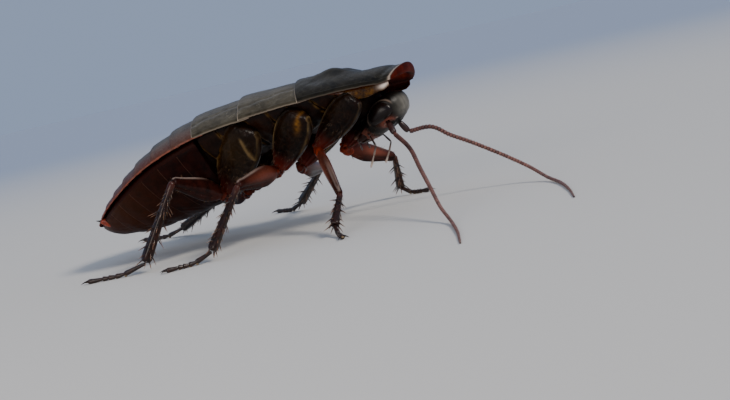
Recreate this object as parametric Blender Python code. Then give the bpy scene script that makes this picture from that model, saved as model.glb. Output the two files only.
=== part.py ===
"""A wingless hissing cockroach, life size, standing: a still model such as a museum shows.

Lengths are millimetres until new_object turns them to metres. The animal faces +X, its right
side is at -Y and it stands on the floor, z = 0. Most of the body is laid out along one curved
body line, from the lip of the hood to the tail: s is the distance along it, y the distance to
the left and h the height above it.
"""

import math
import random

import bmesh
import bpy
from mathutils import Matrix, Vector

MM = 0.001
GAP = 0.3
ORIGIN = Vector((10.4, -10.4, 0.0))
SIDES = (("right", -1), ("left", 1))

# Body line in side view, as (x, z), at the level of the plates' side edges
BODY_LINE = ((31.5, 20.1), (22.0, 20.2), (14.0, 19.8), (5.0, 18.9),
             (-4.0, 17.5), (-12.9, 14.7), (-22.0, 10.5), (-30.0, 6.7))
BODY_ROLL = math.radians(5.0)

# Places along the body line
LIP = 1.0
HOOD_CORNER = 2.6
NECK = 10.0
PRONOTUM_END = 17.6
MESONOTUM_END = 27.2
THORAX_END = 35.4
TERGITE_ENDS = (39.6, 43.8, 47.8, 51.5, 55.0, 58.3, 61.3, 63.6)
SEGMENT_STEP = 0.25
WIDEST = 41.0
LINE_END = 64.2

# Cross-sections, and the powers that round them off
HALF_WIDTH = 13.0
FRONT_HALF_WIDTH = 6.3
FRONT_TAPER = 1.9
REAR_TAPER = 0.75
CREST = 4.9
FRONT_CREST = 2.6
CREST_PLACE = 34.0
CREST_FALL = 2.2
CREST_REAR = 0.85
ARCH_POWER = 0.75
BELLY = 9.7
BELLY_PLACE = 38.0
BELLY_FRONT_DROP = 1.6
BELLY_REAR = (1.6, 0.6)
THORAX_DEPTH = 4.8
THORAX_DEPTHS = (0.36, 0.7, 0.95, 1.0, 1.0, 1.03, 1.1, 1.25)
THORAX_SHARE = 0.84
REAR_BULGE = 1.8
REAR_BULGE_END = 24.0
PLATE_EDGE = 0.8
PLATE_MIDDLE = 1.3
PLATE_STEP = 0.4
SIDE_FLANGE = 0.85
THORAX_POWER = 1.1
BELLY_POWER = 1.5
BELLY_SHARE = 0.93

# Relief of the hood: two horns, the dip in front of them and the raised rim
HORN_PLACE = (12.2, 3.2)
HORN_SPREAD = (2.2, 1.7)
HORN_HEIGHT = 0.9
DIP_PLACE = 8.3
DIP_SPREAD = (2.0, 4.0)
DIP_DEPTH = 0.55
RIM_HEIGHT = 0.4
RIM_WIDTH = 1.0

# Relief of the two plates behind it: the sunk front strip and the slant beside the side lobe
STRIP_DEPTH = 0.2
STRIP_WIDTH = 1.2
SLANT_DEPTH = 0.25
SLANT_PLACE = 0.62
SLANT_LEAN = 0.02
SLANT_WIDTH = 0.1

# Head: its own axes run from the mouth to the crown, to the left and out through the face
HEAD_CENTRE = Vector((24.2, 0.0, 15.5))
HEAD_PITCH = math.radians(33.0)
HEAD_YAW = math.radians(-8.0)
HEAD_SECTIONS = (
    # along the head, half width, half thickness
    (-4.9, 1.5, 1.0), (-4.0, 2.2, 1.5), (-2.6, 2.8, 2.0), (-0.8, 3.3, 2.35),
    (1.0, 3.7, 2.5), (2.6, 3.6, 2.45), (3.9, 2.9, 2.1), (4.8, 1.7, 1.3))
UPPER_LIP = ((-4.6, 0.0, 0.9), (1.5, 1.5, 0.8))
JAW = ((-4.5, 1.5, 0.1), (1.5, 0.9, 1.2))
EYE = ((1.0, 3.15, 0.35), (2.2, 1.0, 1.45))

# Palps: root on the head's axes, then steps forward, outward and up from it, and radii
MAXILLARY_PALP = ((-3.4, 1.9, 0.2), ((1.5, 1.5, -1.7), (1.6, 1.8, -3.4), (0.4, 1.8, -4.7),
                                     (0.0, 1.6, -5.9)), (0.4, 0.36, 0.34, 0.42, 0.25))
LABIAL_PALP = ((-4.2, 0.9, -0.9), ((-0.6, 0.7, -1.6), (-0.2, 0.9, -3.4)), (0.32, 0.3, 0.24))

# Antennae: the scape on the head's axes, then out of the face, down to the floor and along it
SCAPE_ROOT = (0.7, 1.9, 1.6)
SCAPE_TIP = (0.5, 2.9, 4.3)
SCAPE_RADII = (0.6, 0.75, 0.6)
ANTENNA_ROUTES = {
    "right": ((29.7, -8.0, 10.0), (32.0, -13.0, 7.1), (34.6, -19.0, 4.4), (37.1, -25.0, 2.0),
              (39.8, -31.0, 0.5), (43.0, -41.0, 0.25), (45.4, -50.0, 0.14)),
    "left": ((30.9, 3.2, 11.9), (33.6, 3.8, 9.9), (36.7, 4.2, 8.0), (41.1, 4.0, 5.2),
             (45.6, 2.0, 2.5), (49.2, -2.4, 0.65), (52.2, -9.0, 0.3), (54.9, -18.0, 0.2),
             (57.0, -27.0, 0.14)),
}
ANTENNA_RADII = (0.45, 0.40, 0.32, 0.27, 0.14)
ANTENNA_PARTS = (("base", 0.0, 0.33), ("middle", 0.33, 0.66), ("tip", 0.66, 1.0))
SCAPE_GAP = 1.6 * GAP

# Cerci: root and tip as s, y and h, with radii to the point beyond the tip
CERCUS_ROOT = (60.4, 3.3, -1.2)
CERCUS_TIP = (62.0, 4.2, 0.2)
CERCUS_POINT = 0.35
CERCUS_RADII = (0.85, 0.9, 0.6, 0.12)

# Legs: coxa root, trochanter, knee, ankle and toe, with the tibia's spine count
LEGS = {
    "front_right": ((20.6, -7.4, 18.2), (13.4, -4.4, 12.7), (18.8, -14.5, 5.6),
                    (18.6, -19.8, 1.5), (21.4, -25.4, 0.4), 8),
    "front_left": ((20.6, 7.4, 17.0), (15.0, 3.8, 11.2), (20.6, 13.4, 7.4),
                   (19.6, 16.2, 1.5), (24.8, 15.0, 0.4), 8),
    "middle_right": ((12.0, -8.8, 17.4), (6.3, -4.9, 10.5), (3.8, -18.2, 10.4),
                     (-1.2, -22.6, 1.5), (-7.6, -26.4, 0.4), 11),
    "middle_left": ((12.0, 8.8, 15.9), (6.3, 4.9, 9.6), (5.4, 18.0, 7.6),
                    (-2.2, 24.0, 1.5), (-8.6, 28.0, 0.4), 11),
    "hind_right": ((2.6, -9.4, 16.6), (-4.0, -4.8, 8.3), (-7.0, -18.2, 13.0),
                   (-13.4, -21.5, 1.5), (-23.6, -22.2, 0.4), 14),
    "hind_left": ((2.6, 9.4, 14.9), (-4.0, 4.8, 7.4), (-13.6, 14.4, 6.2),
                  (-25.2, 20.4, 1.5), (-35.0, 23.4, 0.4), 14),
}
COXA_WIDTH = {"front": 2.5, "middle": 3.0, "hind": 3.6}
FEMUR_WIDTH = {"front": 1.55, "middle": 1.65, "hind": 1.85}
TIBIA_WIDTH = {"front": 0.62, "middle": 0.68, "hind": 0.75}

# Limb profiles: share of the length, then share of the width
COXA_PROFILE = ((-0.3, 0.5), (-0.22, 0.82), (-0.06, 1.04), (0.16, 1.1), (0.42, 0.98),
                (0.66, 0.74), (0.86, 0.5), (0.96, 0.38))
COXA_THICKNESS = (0.7, 0.3)
FEMUR_PROFILE = ((-0.02, 0.5), (0.06, 0.62), (0.13, 0.6), (0.2, 0.78), (0.34, 1.0),
                 (0.52, 0.94), (0.72, 0.7), (0.88, 0.5), (0.97, 0.46))
FEMUR_THICKNESS = (0.25, 0.35)
TIBIA_PROFILE = ((0.0, 0.8), (0.12, 0.85), (0.4, 0.95), (0.7, 1.1), (0.9, 1.3), (0.97, 1.15))

# Tarsus: lengths of its five joints as shares, and the radii along each of them
TARSOMERES = (0.38, 0.15, 0.12, 0.10, 0.25)
TARSOMERE_PROFILE = ((0.12, 0.38), (0.85, 0.5), (1.0, 0.4))
ANKLE_RADIUS = 0.36
LANDING = (0.38, 0.5)
SOLE = (0.7, 0.4)
CLAW_LENGTH = 1.6
CLAW_SPREAD = 0.65
CLAW_ROOT = (-0.3, 0.1)
CLAW_BEND = 0.2

# Spines of the tibiae: rows round the shaft in degrees, and a crown at the ankle
SPINE_BASE = 0.3
SPINE_LENGTH = 1.7
SPINE_ROWS = (65, 150, 235, 320)
SPINE_REACH = (0.2, 0.86)
SPINE_LEAN = 42
CROWN_SPINES = 5
CROWN_PLACE = 0.93
CROWN_TURNS = (60, 300)
CROWN_LEAN = 50
SHORTEST_SPINE = 0.9

# Colour and roughness of each kind of surface
FINISHES = {
    "plate": ((0.012, 0.011, 0.010), 0.32),
    "skin": ((0.060, 0.035, 0.020), 0.50),
    "segment": ((0.050, 0.020, 0.012), 0.30),
    "face": ((0.012, 0.010, 0.009), 0.22),
    "eye": ((0.010, 0.008, 0.007), 0.15),
    "feeler": ((0.100, 0.030, 0.012), 0.45),
    "palp": ((0.140, 0.060, 0.030), 0.40),
    "cercus": ((0.350, 0.070, 0.020), 0.40),
    "coxa": ((0.060, 0.030, 0.015), 0.30),
    "femur": ((0.050, 0.020, 0.012), 0.25),
    "tibia": ((0.020, 0.014, 0.012), 0.30),
    "tarsus": ((0.050, 0.022, 0.012), 0.35),
}
SHARP_EDGE = math.radians(40)


# Smooth lines

def smooth_line(points, steps=14):
    """A Catmull-Rom curve through the points, as a dense list."""
    points = [Vector(p) for p in points]
    ends = [2 * points[0] - points[1]] + points + [2 * points[-1] - points[-2]]
    curve = []
    for a, b, c, d in zip(ends, ends[1:], ends[2:], ends[3:]):
        for i in range(steps):
            t = i / steps
            curve.append(0.5 * (2 * b + (c - a) * t + (2 * a - 5 * b + 4 * c - d) * t ** 2
                                + (3 * b - a - 3 * c + d) * t ** 3))
    return curve + [points[-1]]


def along(curve, distance):
    """The point on a dense curve at a distance from its start, and the direction there."""
    for a, b in zip(curve, curve[1:]):
        step = (b - a).length
        if distance <= step or b is curve[-1]:
            return a.lerp(b, distance / step), (b - a).normalized()
        distance -= step


def length_of(curve):
    return sum((b - a).length for a, b in zip(curve, curve[1:]))


def bump(x, width):
    return math.exp(-(x / width) ** 2)


BODY_CURVE = smooth_line([(x, 0.0, z) for x, z in BODY_LINE])


# The body's form

def half_width(s):
    if s < WIDEST:
        return HALF_WIDTH - (HALF_WIDTH - FRONT_HALF_WIDTH) * ((WIDEST - s) / WIDEST) ** FRONT_TAPER
    return HALF_WIDTH * max(1 - ((s - WIDEST) / (LINE_END - WIDEST)) ** 2, 0.002) ** REAR_TAPER


def crest(s):
    if s < CREST_PLACE:
        return CREST - (CREST - FRONT_CREST) * ((CREST_PLACE - s) / CREST_PLACE) ** CREST_FALL
    return CREST * max(1 - ((s - CREST_PLACE) / (LINE_END - CREST_PLACE)) ** 2, 0.01) ** CREST_REAR


def belly(s):
    if s < BELLY_PLACE:
        return BELLY - BELLY_FRONT_DROP * ((BELLY_PLACE - s) / (BELLY_PLACE - THORAX_END)) ** 2
    share = (s - BELLY_PLACE) / (LINE_END - BELLY_PLACE)
    return BELLY * max(1 - share ** BELLY_REAR[0], 0.02) ** BELLY_REAR[1]


def body_point(s, y, h):
    """A point of the body: plates and segments bow to the rear at their middle."""
    v = max(-1.0, min(1.0, y / half_width(s)))
    s += REAR_BULGE * (1 - v * v) * min((s / PRONOTUM_END) ** 2, (LINE_END - s) / REAR_BULGE_END, 1.0)
    line, direction = along(BODY_CURVE, s)
    up = Vector((direction.z, 0.0, -direction.x))
    left = Vector((0.0, 1.0, 0.0))
    rolled_left = left * math.cos(BODY_ROLL) - up * math.sin(BODY_ROLL)
    rolled_up = up * math.cos(BODY_ROLL) + left * math.sin(BODY_ROLL)
    return line + rolled_left * y + rolled_up * h


def arch(s, v):
    """Height of the smooth back above the body line at a share v of the half width."""
    return PLATE_EDGE / 2 + (crest(s) - PLATE_EDGE / 2) * max(1 - v * v, 0.0) ** ARCH_POWER


def arch_inside(s, v):
    return arch(s, v) - PLATE_EDGE - (PLATE_MIDDLE - PLATE_EDGE) * (1 - v * v)


# Meshes

def new_object(name, verts, faces, kind):
    colour, roughness = FINISHES[kind]
    mesh = bpy.data.meshes.new(name)
    mesh.from_pydata([(v - ORIGIN) * MM for v in verts], [], faces)
    work = bmesh.new()
    work.from_mesh(mesh)
    bmesh.ops.recalc_face_normals(work, faces=work.faces)
    work.to_mesh(mesh)
    work.free()
    mesh.shade_smooth()
    mesh.set_sharp_from_angle(angle=SHARP_EDGE)
    thing = bpy.data.objects.new(name, mesh)
    bpy.context.collection.objects.link(thing)
    finish = bpy.data.materials.new(name)
    finish.use_nodes = True
    shader = finish.node_tree.nodes["Principled BSDF"]
    shader.inputs["Base Color"].default_value = (*colour, 1.0)
    shader.inputs["Roughness"].default_value = roughness
    mesh.materials.append(finish)
    return thing


def loft(name, rings, kind, dome=0.0):
    """A closed solid through rings of equal count, its ends closed by shallow fans."""
    count = len(rings[0])
    verts = [point for ring in rings for point in ring]
    faces = []
    for row in range(len(rings) - 1):
        for k in range(count):
            a = row * count + k
            b = row * count + (k + 1) % count
            faces.append((a, b, b + count, a + count))
    for end, beyond in ((0, 1), (len(rings) - 1, -2)):
        middle = sum(rings[end], Vector()) / count
        inner = sum(rings[beyond], Vector()) / count
        verts.append(middle + (middle - inner).normalized() * dome)
        for k in range(count):
            faces.append((end * count + k, end * count + (k + 1) % count, len(verts) - 1))
    return new_object(name, verts, faces, kind)


def tube_rings(path, radii, across, sides):
    """Rings round a path. A radius is one number or (along across, out of it)."""
    rings = []
    for i, point in enumerate(path):
        ahead = path[min(i + 1, len(path) - 1)]
        behind = path[max(i - 1, 0)]
        direction = (ahead - behind).normalized()
        out = direction.cross(across).normalized()
        side = out.cross(direction)
        wide, thick = radii[i] if isinstance(radii[i], tuple) else (radii[i], radii[i])
        rings.append([point + side * wide * math.cos(2 * math.pi * (k + 0.5) / sides)
                      + out * thick * math.sin(2 * math.pi * (k + 0.5) / sides)
                      for k in range(sides)])
    return rings


def keep_largest(mesh):
    """Keep only the largest closed surface of a mesh."""
    work = bmesh.new()
    work.from_mesh(mesh)
    bmesh.ops.remove_doubles(work, verts=work.verts, dist=1e-7)
    bmesh.ops.dissolve_degenerate(work, dist=1e-7, edges=work.edges)
    left_over = set(work.faces)
    shells = []
    while left_over:
        shell = {left_over.pop()}
        edge_of_shell = list(shell)
        while edge_of_shell:
            face = edge_of_shell.pop()
            for edge in face.edges:
                for other in edge.link_faces:
                    if other in left_over:
                        left_over.discard(other)
                        shell.add(other)
                        edge_of_shell.append(other)
        shells.append(shell)
    shells.sort(key=lambda faces: sum(face.calc_area() for face in faces), reverse=True)
    scraps = [face for shell in shells[1:] for face in shell]
    bmesh.ops.delete(work, geom=scraps, context="FACES")
    work.to_mesh(mesh)
    work.free()


def apply_boolean(target, operation, pieces):
    """Join a group of solids to the target, or cut them out of it, and remove them."""
    group = bpy.data.collections.new(target.name + "_pieces")
    bpy.context.scene.collection.children.link(group)
    for piece in pieces:
        group.objects.link(piece)
    change = target.modifiers.new("change", "BOOLEAN")
    change.operation = operation
    change.operand_type = "COLLECTION"
    change.collection = group
    change.solver = "EXACT"
    evaluated = target.evaluated_get(bpy.context.evaluated_depsgraph_get())
    mesh = bpy.data.meshes.new_from_object(evaluated)
    target.modifiers.clear()
    target.data = mesh
    keep_largest(mesh)
    for piece in pieces:
        bpy.data.objects.remove(piece)
    bpy.data.collections.remove(group)


def grown(thing, distance):
    """A copy of a solid with its skin moved out by a distance."""
    mesh = thing.data.copy()
    moves = [vertex.normal * distance * MM for vertex in mesh.vertices]
    for vertex, move in zip(mesh.vertices, moves):
        vertex.co += move
    copy = bpy.data.objects.new(thing.name + "_grown", mesh)
    bpy.context.collection.objects.link(copy)
    return copy


def cut_clear(thing, *neighbours):
    """Cut a solid back so that it meets its neighbours face to face across the gap."""
    for neighbour in neighbours:
        apply_boolean(thing, "DIFFERENCE", [grown(neighbour, GAP)])


# Plates of the back

def slab(name, upper, lower, kind):
    """A closed shell between two grids of points with the same rows and columns."""
    rows = len(upper)
    columns = len(upper[0])
    verts = [p for row in upper for p in row] + [p for row in lower for p in row]
    shift = rows * columns
    faces = []
    for i in range(rows - 1):
        for j in range(columns - 1):
            a = i * columns + j
            quad = (a, a + 1, a + columns + 1, a + columns)
            faces.append(quad)
            faces.append(tuple(k + shift for k in reversed(quad)))
    rim = ([(0, j) for j in range(columns)] + [(i, columns - 1) for i in range(1, rows)]
           + [(rows - 1, j) for j in range(columns - 2, -1, -1)]
           + [(i, 0) for i in range(rows - 2, 0, -1)])
    for (i, j), (m, n) in zip(rim, rim[1:] + rim[:1]):
        a = i * columns + j
        b = m * columns + n
        faces.append((a, b, b + shift, a + shift))
    return new_object(name, verts, faces, kind)


def back_plate(name, start, end, rows, columns, relief):
    """One plate, from its front edge start(v) to its rear edge, which steps up."""
    upper = []
    lower = []
    for i in range(rows + 1):
        share = i / rows
        upper.append([])
        lower.append([])
        for j in range(columns + 1):
            v = math.sin(math.pi / 2 * (2 * j / columns - 1))
            s = start(v) + (end - start(v)) * share
            y = half_width(s) * v
            lift = PLATE_STEP * share ** 2 + relief(s, y, s - start(v))
            upper[-1].append(body_point(s, y, arch(s, v) + lift))
            lower[-1].append(body_point(s, y, arch_inside(s, v)))
    return slab(name, upper, lower, "plate")


def hood_relief(s, y, from_edge):
    """Two low horns, the dip in front of them and the raised front rim."""
    place, aside = HORN_PLACE
    sides = bump(y - aside, HORN_SPREAD[1]) + bump(y + aside, HORN_SPREAD[1])
    horns = HORN_HEIGHT * bump(s - place, HORN_SPREAD[0]) * sides
    dip = DIP_DEPTH * bump(s - DIP_PLACE, DIP_SPREAD[0]) * bump(y, DIP_SPREAD[1])
    return horns - dip + RIM_HEIGHT * bump(from_edge, RIM_WIDTH)


def segment_relief(s, y, from_edge):
    """The sunk front strip of a segment, and the shallow slant that marks off its side lobe."""
    v = abs(y) / half_width(s)
    slant = SLANT_DEPTH * bump(v - SLANT_PLACE - SLANT_LEAN * from_edge, SLANT_WIDTH)
    return -STRIP_DEPTH * bump(from_edge, STRIP_WIDTH) - slant


def build_plates():
    hood = back_plate("pronotum", lambda v: LIP + (HOOD_CORNER - LIP) * abs(v) ** 3,
                      PRONOTUM_END, 13, 20, hood_relief)
    middle = back_plate("mesonotum", lambda v: PRONOTUM_END + GAP, MESONOTUM_END,
                        6, 20, segment_relief)
    rear = back_plate("metanotum", lambda v: MESONOTUM_END + GAP, THORAX_END,
                      6, 20, segment_relief)
    return [hood, middle, rear]


# Trunk

def thorax_ring(s, depth):
    """The trunk's section under the plates: an arched top and a rounded underside."""
    clear = 1.2 * GAP
    top = []
    for k in range(9):
        v = THORAX_SHARE * math.sin(math.pi / 2 * (k / 4 - 1))
        top.append(body_point(s, half_width(s) * v, arch_inside(s, v) - clear))
    edge = arch_inside(s, THORAX_SHARE) - clear
    under = []
    for k in range(1, 8):
        turn = math.pi * k / 8
        y = half_width(s) * THORAX_SHARE * math.cos(turn)
        under.append(body_point(s, y, edge - (depth + edge) * math.sin(turn) ** THORAX_POWER))
    return top + under


def build_thorax():
    rings = []
    for i, share in enumerate(THORAX_DEPTHS):
        s = NECK + (THORAX_END - NECK) * i / (len(THORAX_DEPTHS) - 1)
        rings.append(thorax_ring(s, THORAX_DEPTH * share))
    return loft("thorax", rings, "skin")


def abdomen_ring(s, lift):
    """A segment's section: arched back, thin flange at the side and deep rounded underside."""
    wide = half_width(s) + 0.5 * lift
    top = []
    for k in range(15):
        v = math.sin(math.pi / 2 * (k / 7 - 1))
        top.append(body_point(s, wide * v, arch(s, v) + lift))
    flange = PLATE_EDGE / 2 + lift - min(SIDE_FLANGE, 0.3 * belly(s))
    inner = BELLY_SHARE * wide
    under = [body_point(s, wide * 0.99, flange)]
    for k in range(12):
        turn = math.pi * (k + 0.5) / 12
        h = flange - (belly(s) + flange) * math.sin(turn) ** BELLY_POWER
        under.append(body_point(s, inner * math.cos(turn), h))
    return top + under + [body_point(s, -wide * 0.99, flange)]


def build_abdomen():
    """Eight overlapping rings, each a step higher at its rear than the next one's front."""
    rings = []
    start = THORAX_END + GAP
    for end in TERGITE_ENDS:
        rings.append(abdomen_ring(start, 0.0))
        rings.append(abdomen_ring((start + end) / 2, 0.35 * PLATE_STEP))
        rings.append(abdomen_ring(end, PLATE_STEP))
        start = end + SEGMENT_STEP
    rings.pop()
    rings.append(abdomen_ring(TERGITE_ENDS[-1], 0.0))
    return loft("abdomen", rings, "segment")


# Head

def head_axes():
    """Crown, left and face directions of the head."""
    turn = (Matrix.Rotation(HEAD_YAW, 3, "Z") @ Matrix.Rotation(-BODY_ROLL, 3, "X")
            @ Matrix.Rotation(-HEAD_PITCH, 3, "Y"))
    return turn @ Vector((1, 0, 0)), turn @ Vector((0, 1, 0)), turn @ Vector((0, 0, -1))


def head_point(a, y, f):
    crown, left, face = head_axes()
    return HEAD_CENTRE + crown * a + left * y + face * f


def ellipsoid(name, centre, radii, turns, rows, kind):
    """A closed ellipsoid on the head's axes: radii toward crown, left and face."""
    rings = []
    for i in range(1, rows):
        tilt = math.pi * i / rows
        a = centre[0] - radii[0] * math.cos(tilt)
        ring = []
        for k in range(turns):
            turn = 2 * math.pi * k / turns
            ring.append(head_point(a, centre[1] + radii[1] * math.sin(tilt) * math.cos(turn),
                                   centre[2] + radii[2] * math.sin(tilt) * math.sin(turn)))
        rings.append(ring)
    return loft(name, rings, kind, radii[0] * (1 - math.cos(math.pi / rows)))


def build_head():
    """The skull with its upper lip and jaws, and the two eyes set in it."""
    rings = []
    for a, wide, thick in HEAD_SECTIONS:
        rings.append([head_point(a, wide * math.cos(2 * math.pi * (k + 0.5) / 16),
                                 thick * math.sin(2 * math.pi * (k + 0.5) / 16))
                      for k in range(16)])
    head = loft("head", rings, "face", 0.5)
    mouth = [ellipsoid("upper_lip", *UPPER_LIP, 10, 6, "face")]
    for side, sign in SIDES:
        (a, y, f), radii = JAW
        mouth.append(ellipsoid("jaw_" + side, (a, sign * y, f), radii, 8, 6, "face"))
    apply_boolean(head, "UNION", mouth)
    for side, sign in SIDES:
        (a, y, f), radii = EYE
        eye = ellipsoid("eye_" + side, (a, sign * y, f), radii, 14, 8, "eye")
        cut_clear(head, eye)
    return head


# Feelers

def tapered(name, route, radii, sides, kind, start=0.0, end=1.0, rings=12, across=(0, 0, 1)):
    """A tapering tube along a share of a smooth route, flat below where it lies on the floor."""
    curve = smooth_line(route)
    total = length_of(curve)
    path = []
    thickness = []
    for i in range(rings + 1):
        share = start + (end - start) * i / rings
        path.append(along(curve, share * total)[0])
        place = share * (len(radii) - 1)
        low = min(int(place), len(radii) - 2)
        thickness.append(radii[low] + (radii[low + 1] - radii[low]) * (place - low))
    found = tube_rings(path, thickness, Vector(across), sides)
    for ring in found:
        for point in ring:
            point.z = max(point.z, 0.0)
    return loft(name, found, kind, 0.5 * min(thickness))


def on_side(place, sign):
    """A place on the head's axes, moved to one side of the head."""
    a, y, f = place
    return head_point(a, sign * y, f)


def build_antenna(side, sign, head):
    root = on_side(SCAPE_ROOT, sign)
    elbow = on_side(SCAPE_TIP, sign)
    scape = tapered(f"antenna_{side}_scape", (root, root.lerp(elbow, 0.5), elbow),
                    SCAPE_RADII, 8, "feeler", rings=4)
    cut_clear(scape, head)
    route = (elbow,) + ANTENNA_ROUTES[side]
    total = length_of(smooth_line(route))
    for part, start, end in ANTENNA_PARTS:
        first = start + (SCAPE_GAP if part == "base" else GAP / 2) / total
        last = end - (0.0 if part == "tip" else GAP / 2) / total
        tapered(f"antenna_{side}_{part}", route, ANTENNA_RADII, 6, "feeler", first, last, rings=14)


def build_palps(side, sign, head):
    """The five-jointed outer palp and the short inner one, either side of the mouth."""
    for name, sides, rings, shape in (("maxillary_palp_", 7, 12, MAXILLARY_PALP),
                                      ("labial_palp_", 6, 7, LABIAL_PALP)):
        place, steps, radii = shape
        root = on_side(place, sign)
        route = [root] + [root + Vector((x, sign * y, z)) for x, y, z in steps]
        palp = tapered(name + side, route, radii, sides, "palp", rings=rings, across=(1, 0, 0))
        cut_clear(palp, head)


def build_cercus(side, sign, abdomen):
    s, y, h = CERCUS_ROOT
    root = body_point(s, sign * y, h)
    s, y, h = CERCUS_TIP
    tip = body_point(s, sign * y, h)
    point = tip + (tip - root) * CERCUS_POINT
    cercus = tapered("cercus_" + side, (root, tip, point), CERCUS_RADII, 8, "cercus", rings=7)
    cut_clear(cercus, abdomen)


# Legs

def limb(name, start, end, profile, width, thickness, across, sides, kind, dome):
    """A tube from one joint to the next, as wide as its profile says and flattened."""
    path = [start.lerp(end, share) for share, _ in profile]
    radii = [(width * size, thickness(width * size)) for _, size in profile]
    return loft(name, tube_rings(path, radii, across, sides), kind, dome)


def build_coxa(place, root, joint, width, neighbours):
    """A broad flattened cone that hangs from the trunk to the trochanter."""
    outward = Vector((0, -1 if "right" in place else 1, 0))
    across = (joint - root).cross(outward).normalized()
    least, share = COXA_THICKNESS
    coxa = limb("coxa_" + place, root, joint, COXA_PROFILE, width,
                lambda wide: least + share * wide, across, 12, "coxa", 0.4)
    cut_clear(coxa, *neighbours)
    return coxa


def build_femur(place, joint, knee, width, neighbours):
    """Trochanter and femur: a flattened spindle, deepest a third of the way along."""
    direction = knee - joint
    across = direction.cross(Vector((0, 0, 1))).cross(direction).normalized()
    least, share = FEMUR_THICKNESS
    femur = limb("femur_" + place, joint, knee, FEMUR_PROFILE, width,
                 lambda wide: least * width + share * wide, across, 10, "femur", 0.3)
    cut_clear(femur, *neighbours)
    return femur


def spine(root, direction, length, bend):
    """A tapering thorn of five sides with a slight bend, its root sunk in the limb."""
    across = direction.orthogonal().normalized()
    middle = root + direction * length * 0.5
    tip = root + direction * length + bend
    rings = tube_rings([root, middle, tip], [SPINE_BASE, SPINE_BASE * 0.68, 0.05], across, 5)
    verts = rings[0] + rings[1] + [tip]
    faces = [tuple(range(5))]
    for k in range(5):
        n = (k + 1) % 5
        faces.append((k, n, n + 5, k + 5))
        faces.append((k + 5, n + 5, 10))
    return new_object("spine", verts, faces, "tibia")


def build_tibia(place, knee, ankle, toe, width, count, femur):
    """A shaft that widens to the ankle, with rows of spines and a crown of them.

    Returns the room that the tarsus is cut clear of.
    """
    shaft = ankle - knee
    direction = shaft.normalized()
    onward = toe - ankle
    across = (onward - direction * onward.dot(direction)).normalized()
    beside = direction.cross(across)
    tibia = limb("tibia_" + place, knee, ankle, TIBIA_PROFILE, width,
                 lambda wide: wide, across, 8, "tibia", 0.1)
    cut_clear(tibia, femur)
    ankle_room = grown(tibia, GAP)
    draw = random.Random("tibia_" + place)
    thorns = []

    def add_thorn(share, turn, lean, long):
        outward = across * math.cos(turn) + beside * math.sin(turn)
        aim = (outward * math.cos(lean) + direction * math.sin(lean)).normalized()
        root = knee + shaft * share + outward * width * 0.35
        while (root + aim * long).z < SPINE_BASE and long > SHORTEST_SPINE:
            long *= 0.9
        thorns.append(spine(root, aim, long, direction * 0.12))

    first, last = SPINE_REACH
    for i in range(count):
        share = first + (last - first) * i / (count - 1)
        turn = math.radians(SPINE_ROWS[i % len(SPINE_ROWS)] + draw.uniform(-12, 12))
        lean = math.radians(SPINE_LEAN + draw.uniform(-6, 6))
        add_thorn(share, turn, lean,
                  width + SPINE_LENGTH * (0.75 + 0.25 * share) * draw.uniform(0.85, 1.1))
    first, last = CROWN_TURNS
    for i in range(CROWN_SPINES):
        turn = math.radians(first + (last - first) * i / (CROWN_SPINES - 1))
        add_thorn(CROWN_PLACE, turn, math.radians(CROWN_LEAN),
                  width + SPINE_LENGTH * draw.uniform(0.8, 0.95))
    apply_boolean(tibia, "UNION", thorns)
    return ankle_room


def build_tarsus(place, ankle, toe, ankle_room):
    """Five short joints that come down to the floor, flat underneath, and two claws."""
    down = [Vector((*ankle.lerp(toe, share).xy, height)) for share, height in (LANDING, SOLE)]
    route = smooth_line([ankle] + down + [toe])
    total = length_of(route)
    path = [along(route, 0.0)[0]]
    radii = [ANKLE_RADIUS]
    start = 0.0
    for share in TARSOMERES:
        for part, radius in TARSOMERE_PROFILE:
            path.append(along(route, (start + share * part) * total)[0])
            radii.append(radius)
        start += share
    rings = tube_rings(path, radii, Vector((0, 0, 1)), 6)
    tarsus = loft("tarsus_" + place, rings, "tarsus", 0.15)
    forward = ((toe - ankle) * Vector((1, 1, 0))).normalized()
    beside = forward.cross(Vector((0, 0, 1)))
    claws = []
    for _, sign in SIDES:
        aim = (forward + sign * CLAW_SPREAD * beside).normalized()
        root = toe + forward * CLAW_ROOT[0] + Vector((0, 0, CLAW_ROOT[1]))
        claws.append(spine(root, aim, CLAW_LENGTH, Vector((0, 0, -CLAW_BEND))))
    apply_boolean(tarsus, "UNION", claws)
    apply_boolean(tarsus, "DIFFERENCE", [ankle_room])
    for vertex in tarsus.data.vertices:
        vertex.co.z = max(vertex.co.z, 0.0)


def build_legs(thorax, abdomen, plates):
    coxa_ahead = {"right": [], "left": []}
    for place, (*joints, count) in LEGS.items():
        pair, side = place.split("_")
        root, joint, knee, ankle, toe = (Vector(p) for p in joints)
        coxa = build_coxa(place, root, joint, COXA_WIDTH[pair],
                          [thorax, abdomen] + plates + coxa_ahead[side])
        coxa_ahead[side] = [coxa]
        femur = build_femur(place, joint, knee, FEMUR_WIDTH[pair], (coxa, abdomen))
        ankle_room = build_tibia(place, knee, ankle, toe, TIBIA_WIDTH[pair], count, femur)
        build_tarsus(place, ankle, toe, ankle_room)


def build_cockroach():
    for thing in list(bpy.data.objects):
        bpy.data.objects.remove(thing)
    plates = build_plates()
    thorax = build_thorax()
    abdomen = build_abdomen()
    head = build_head()
    cut_clear(thorax, abdomen, head)
    for side, sign in SIDES:
        build_antenna(side, sign, head)
        build_palps(side, sign, head)
        build_cercus(side, sign, abdomen)
    build_legs(thorax, abdomen, plates)


build_cockroach()
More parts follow.
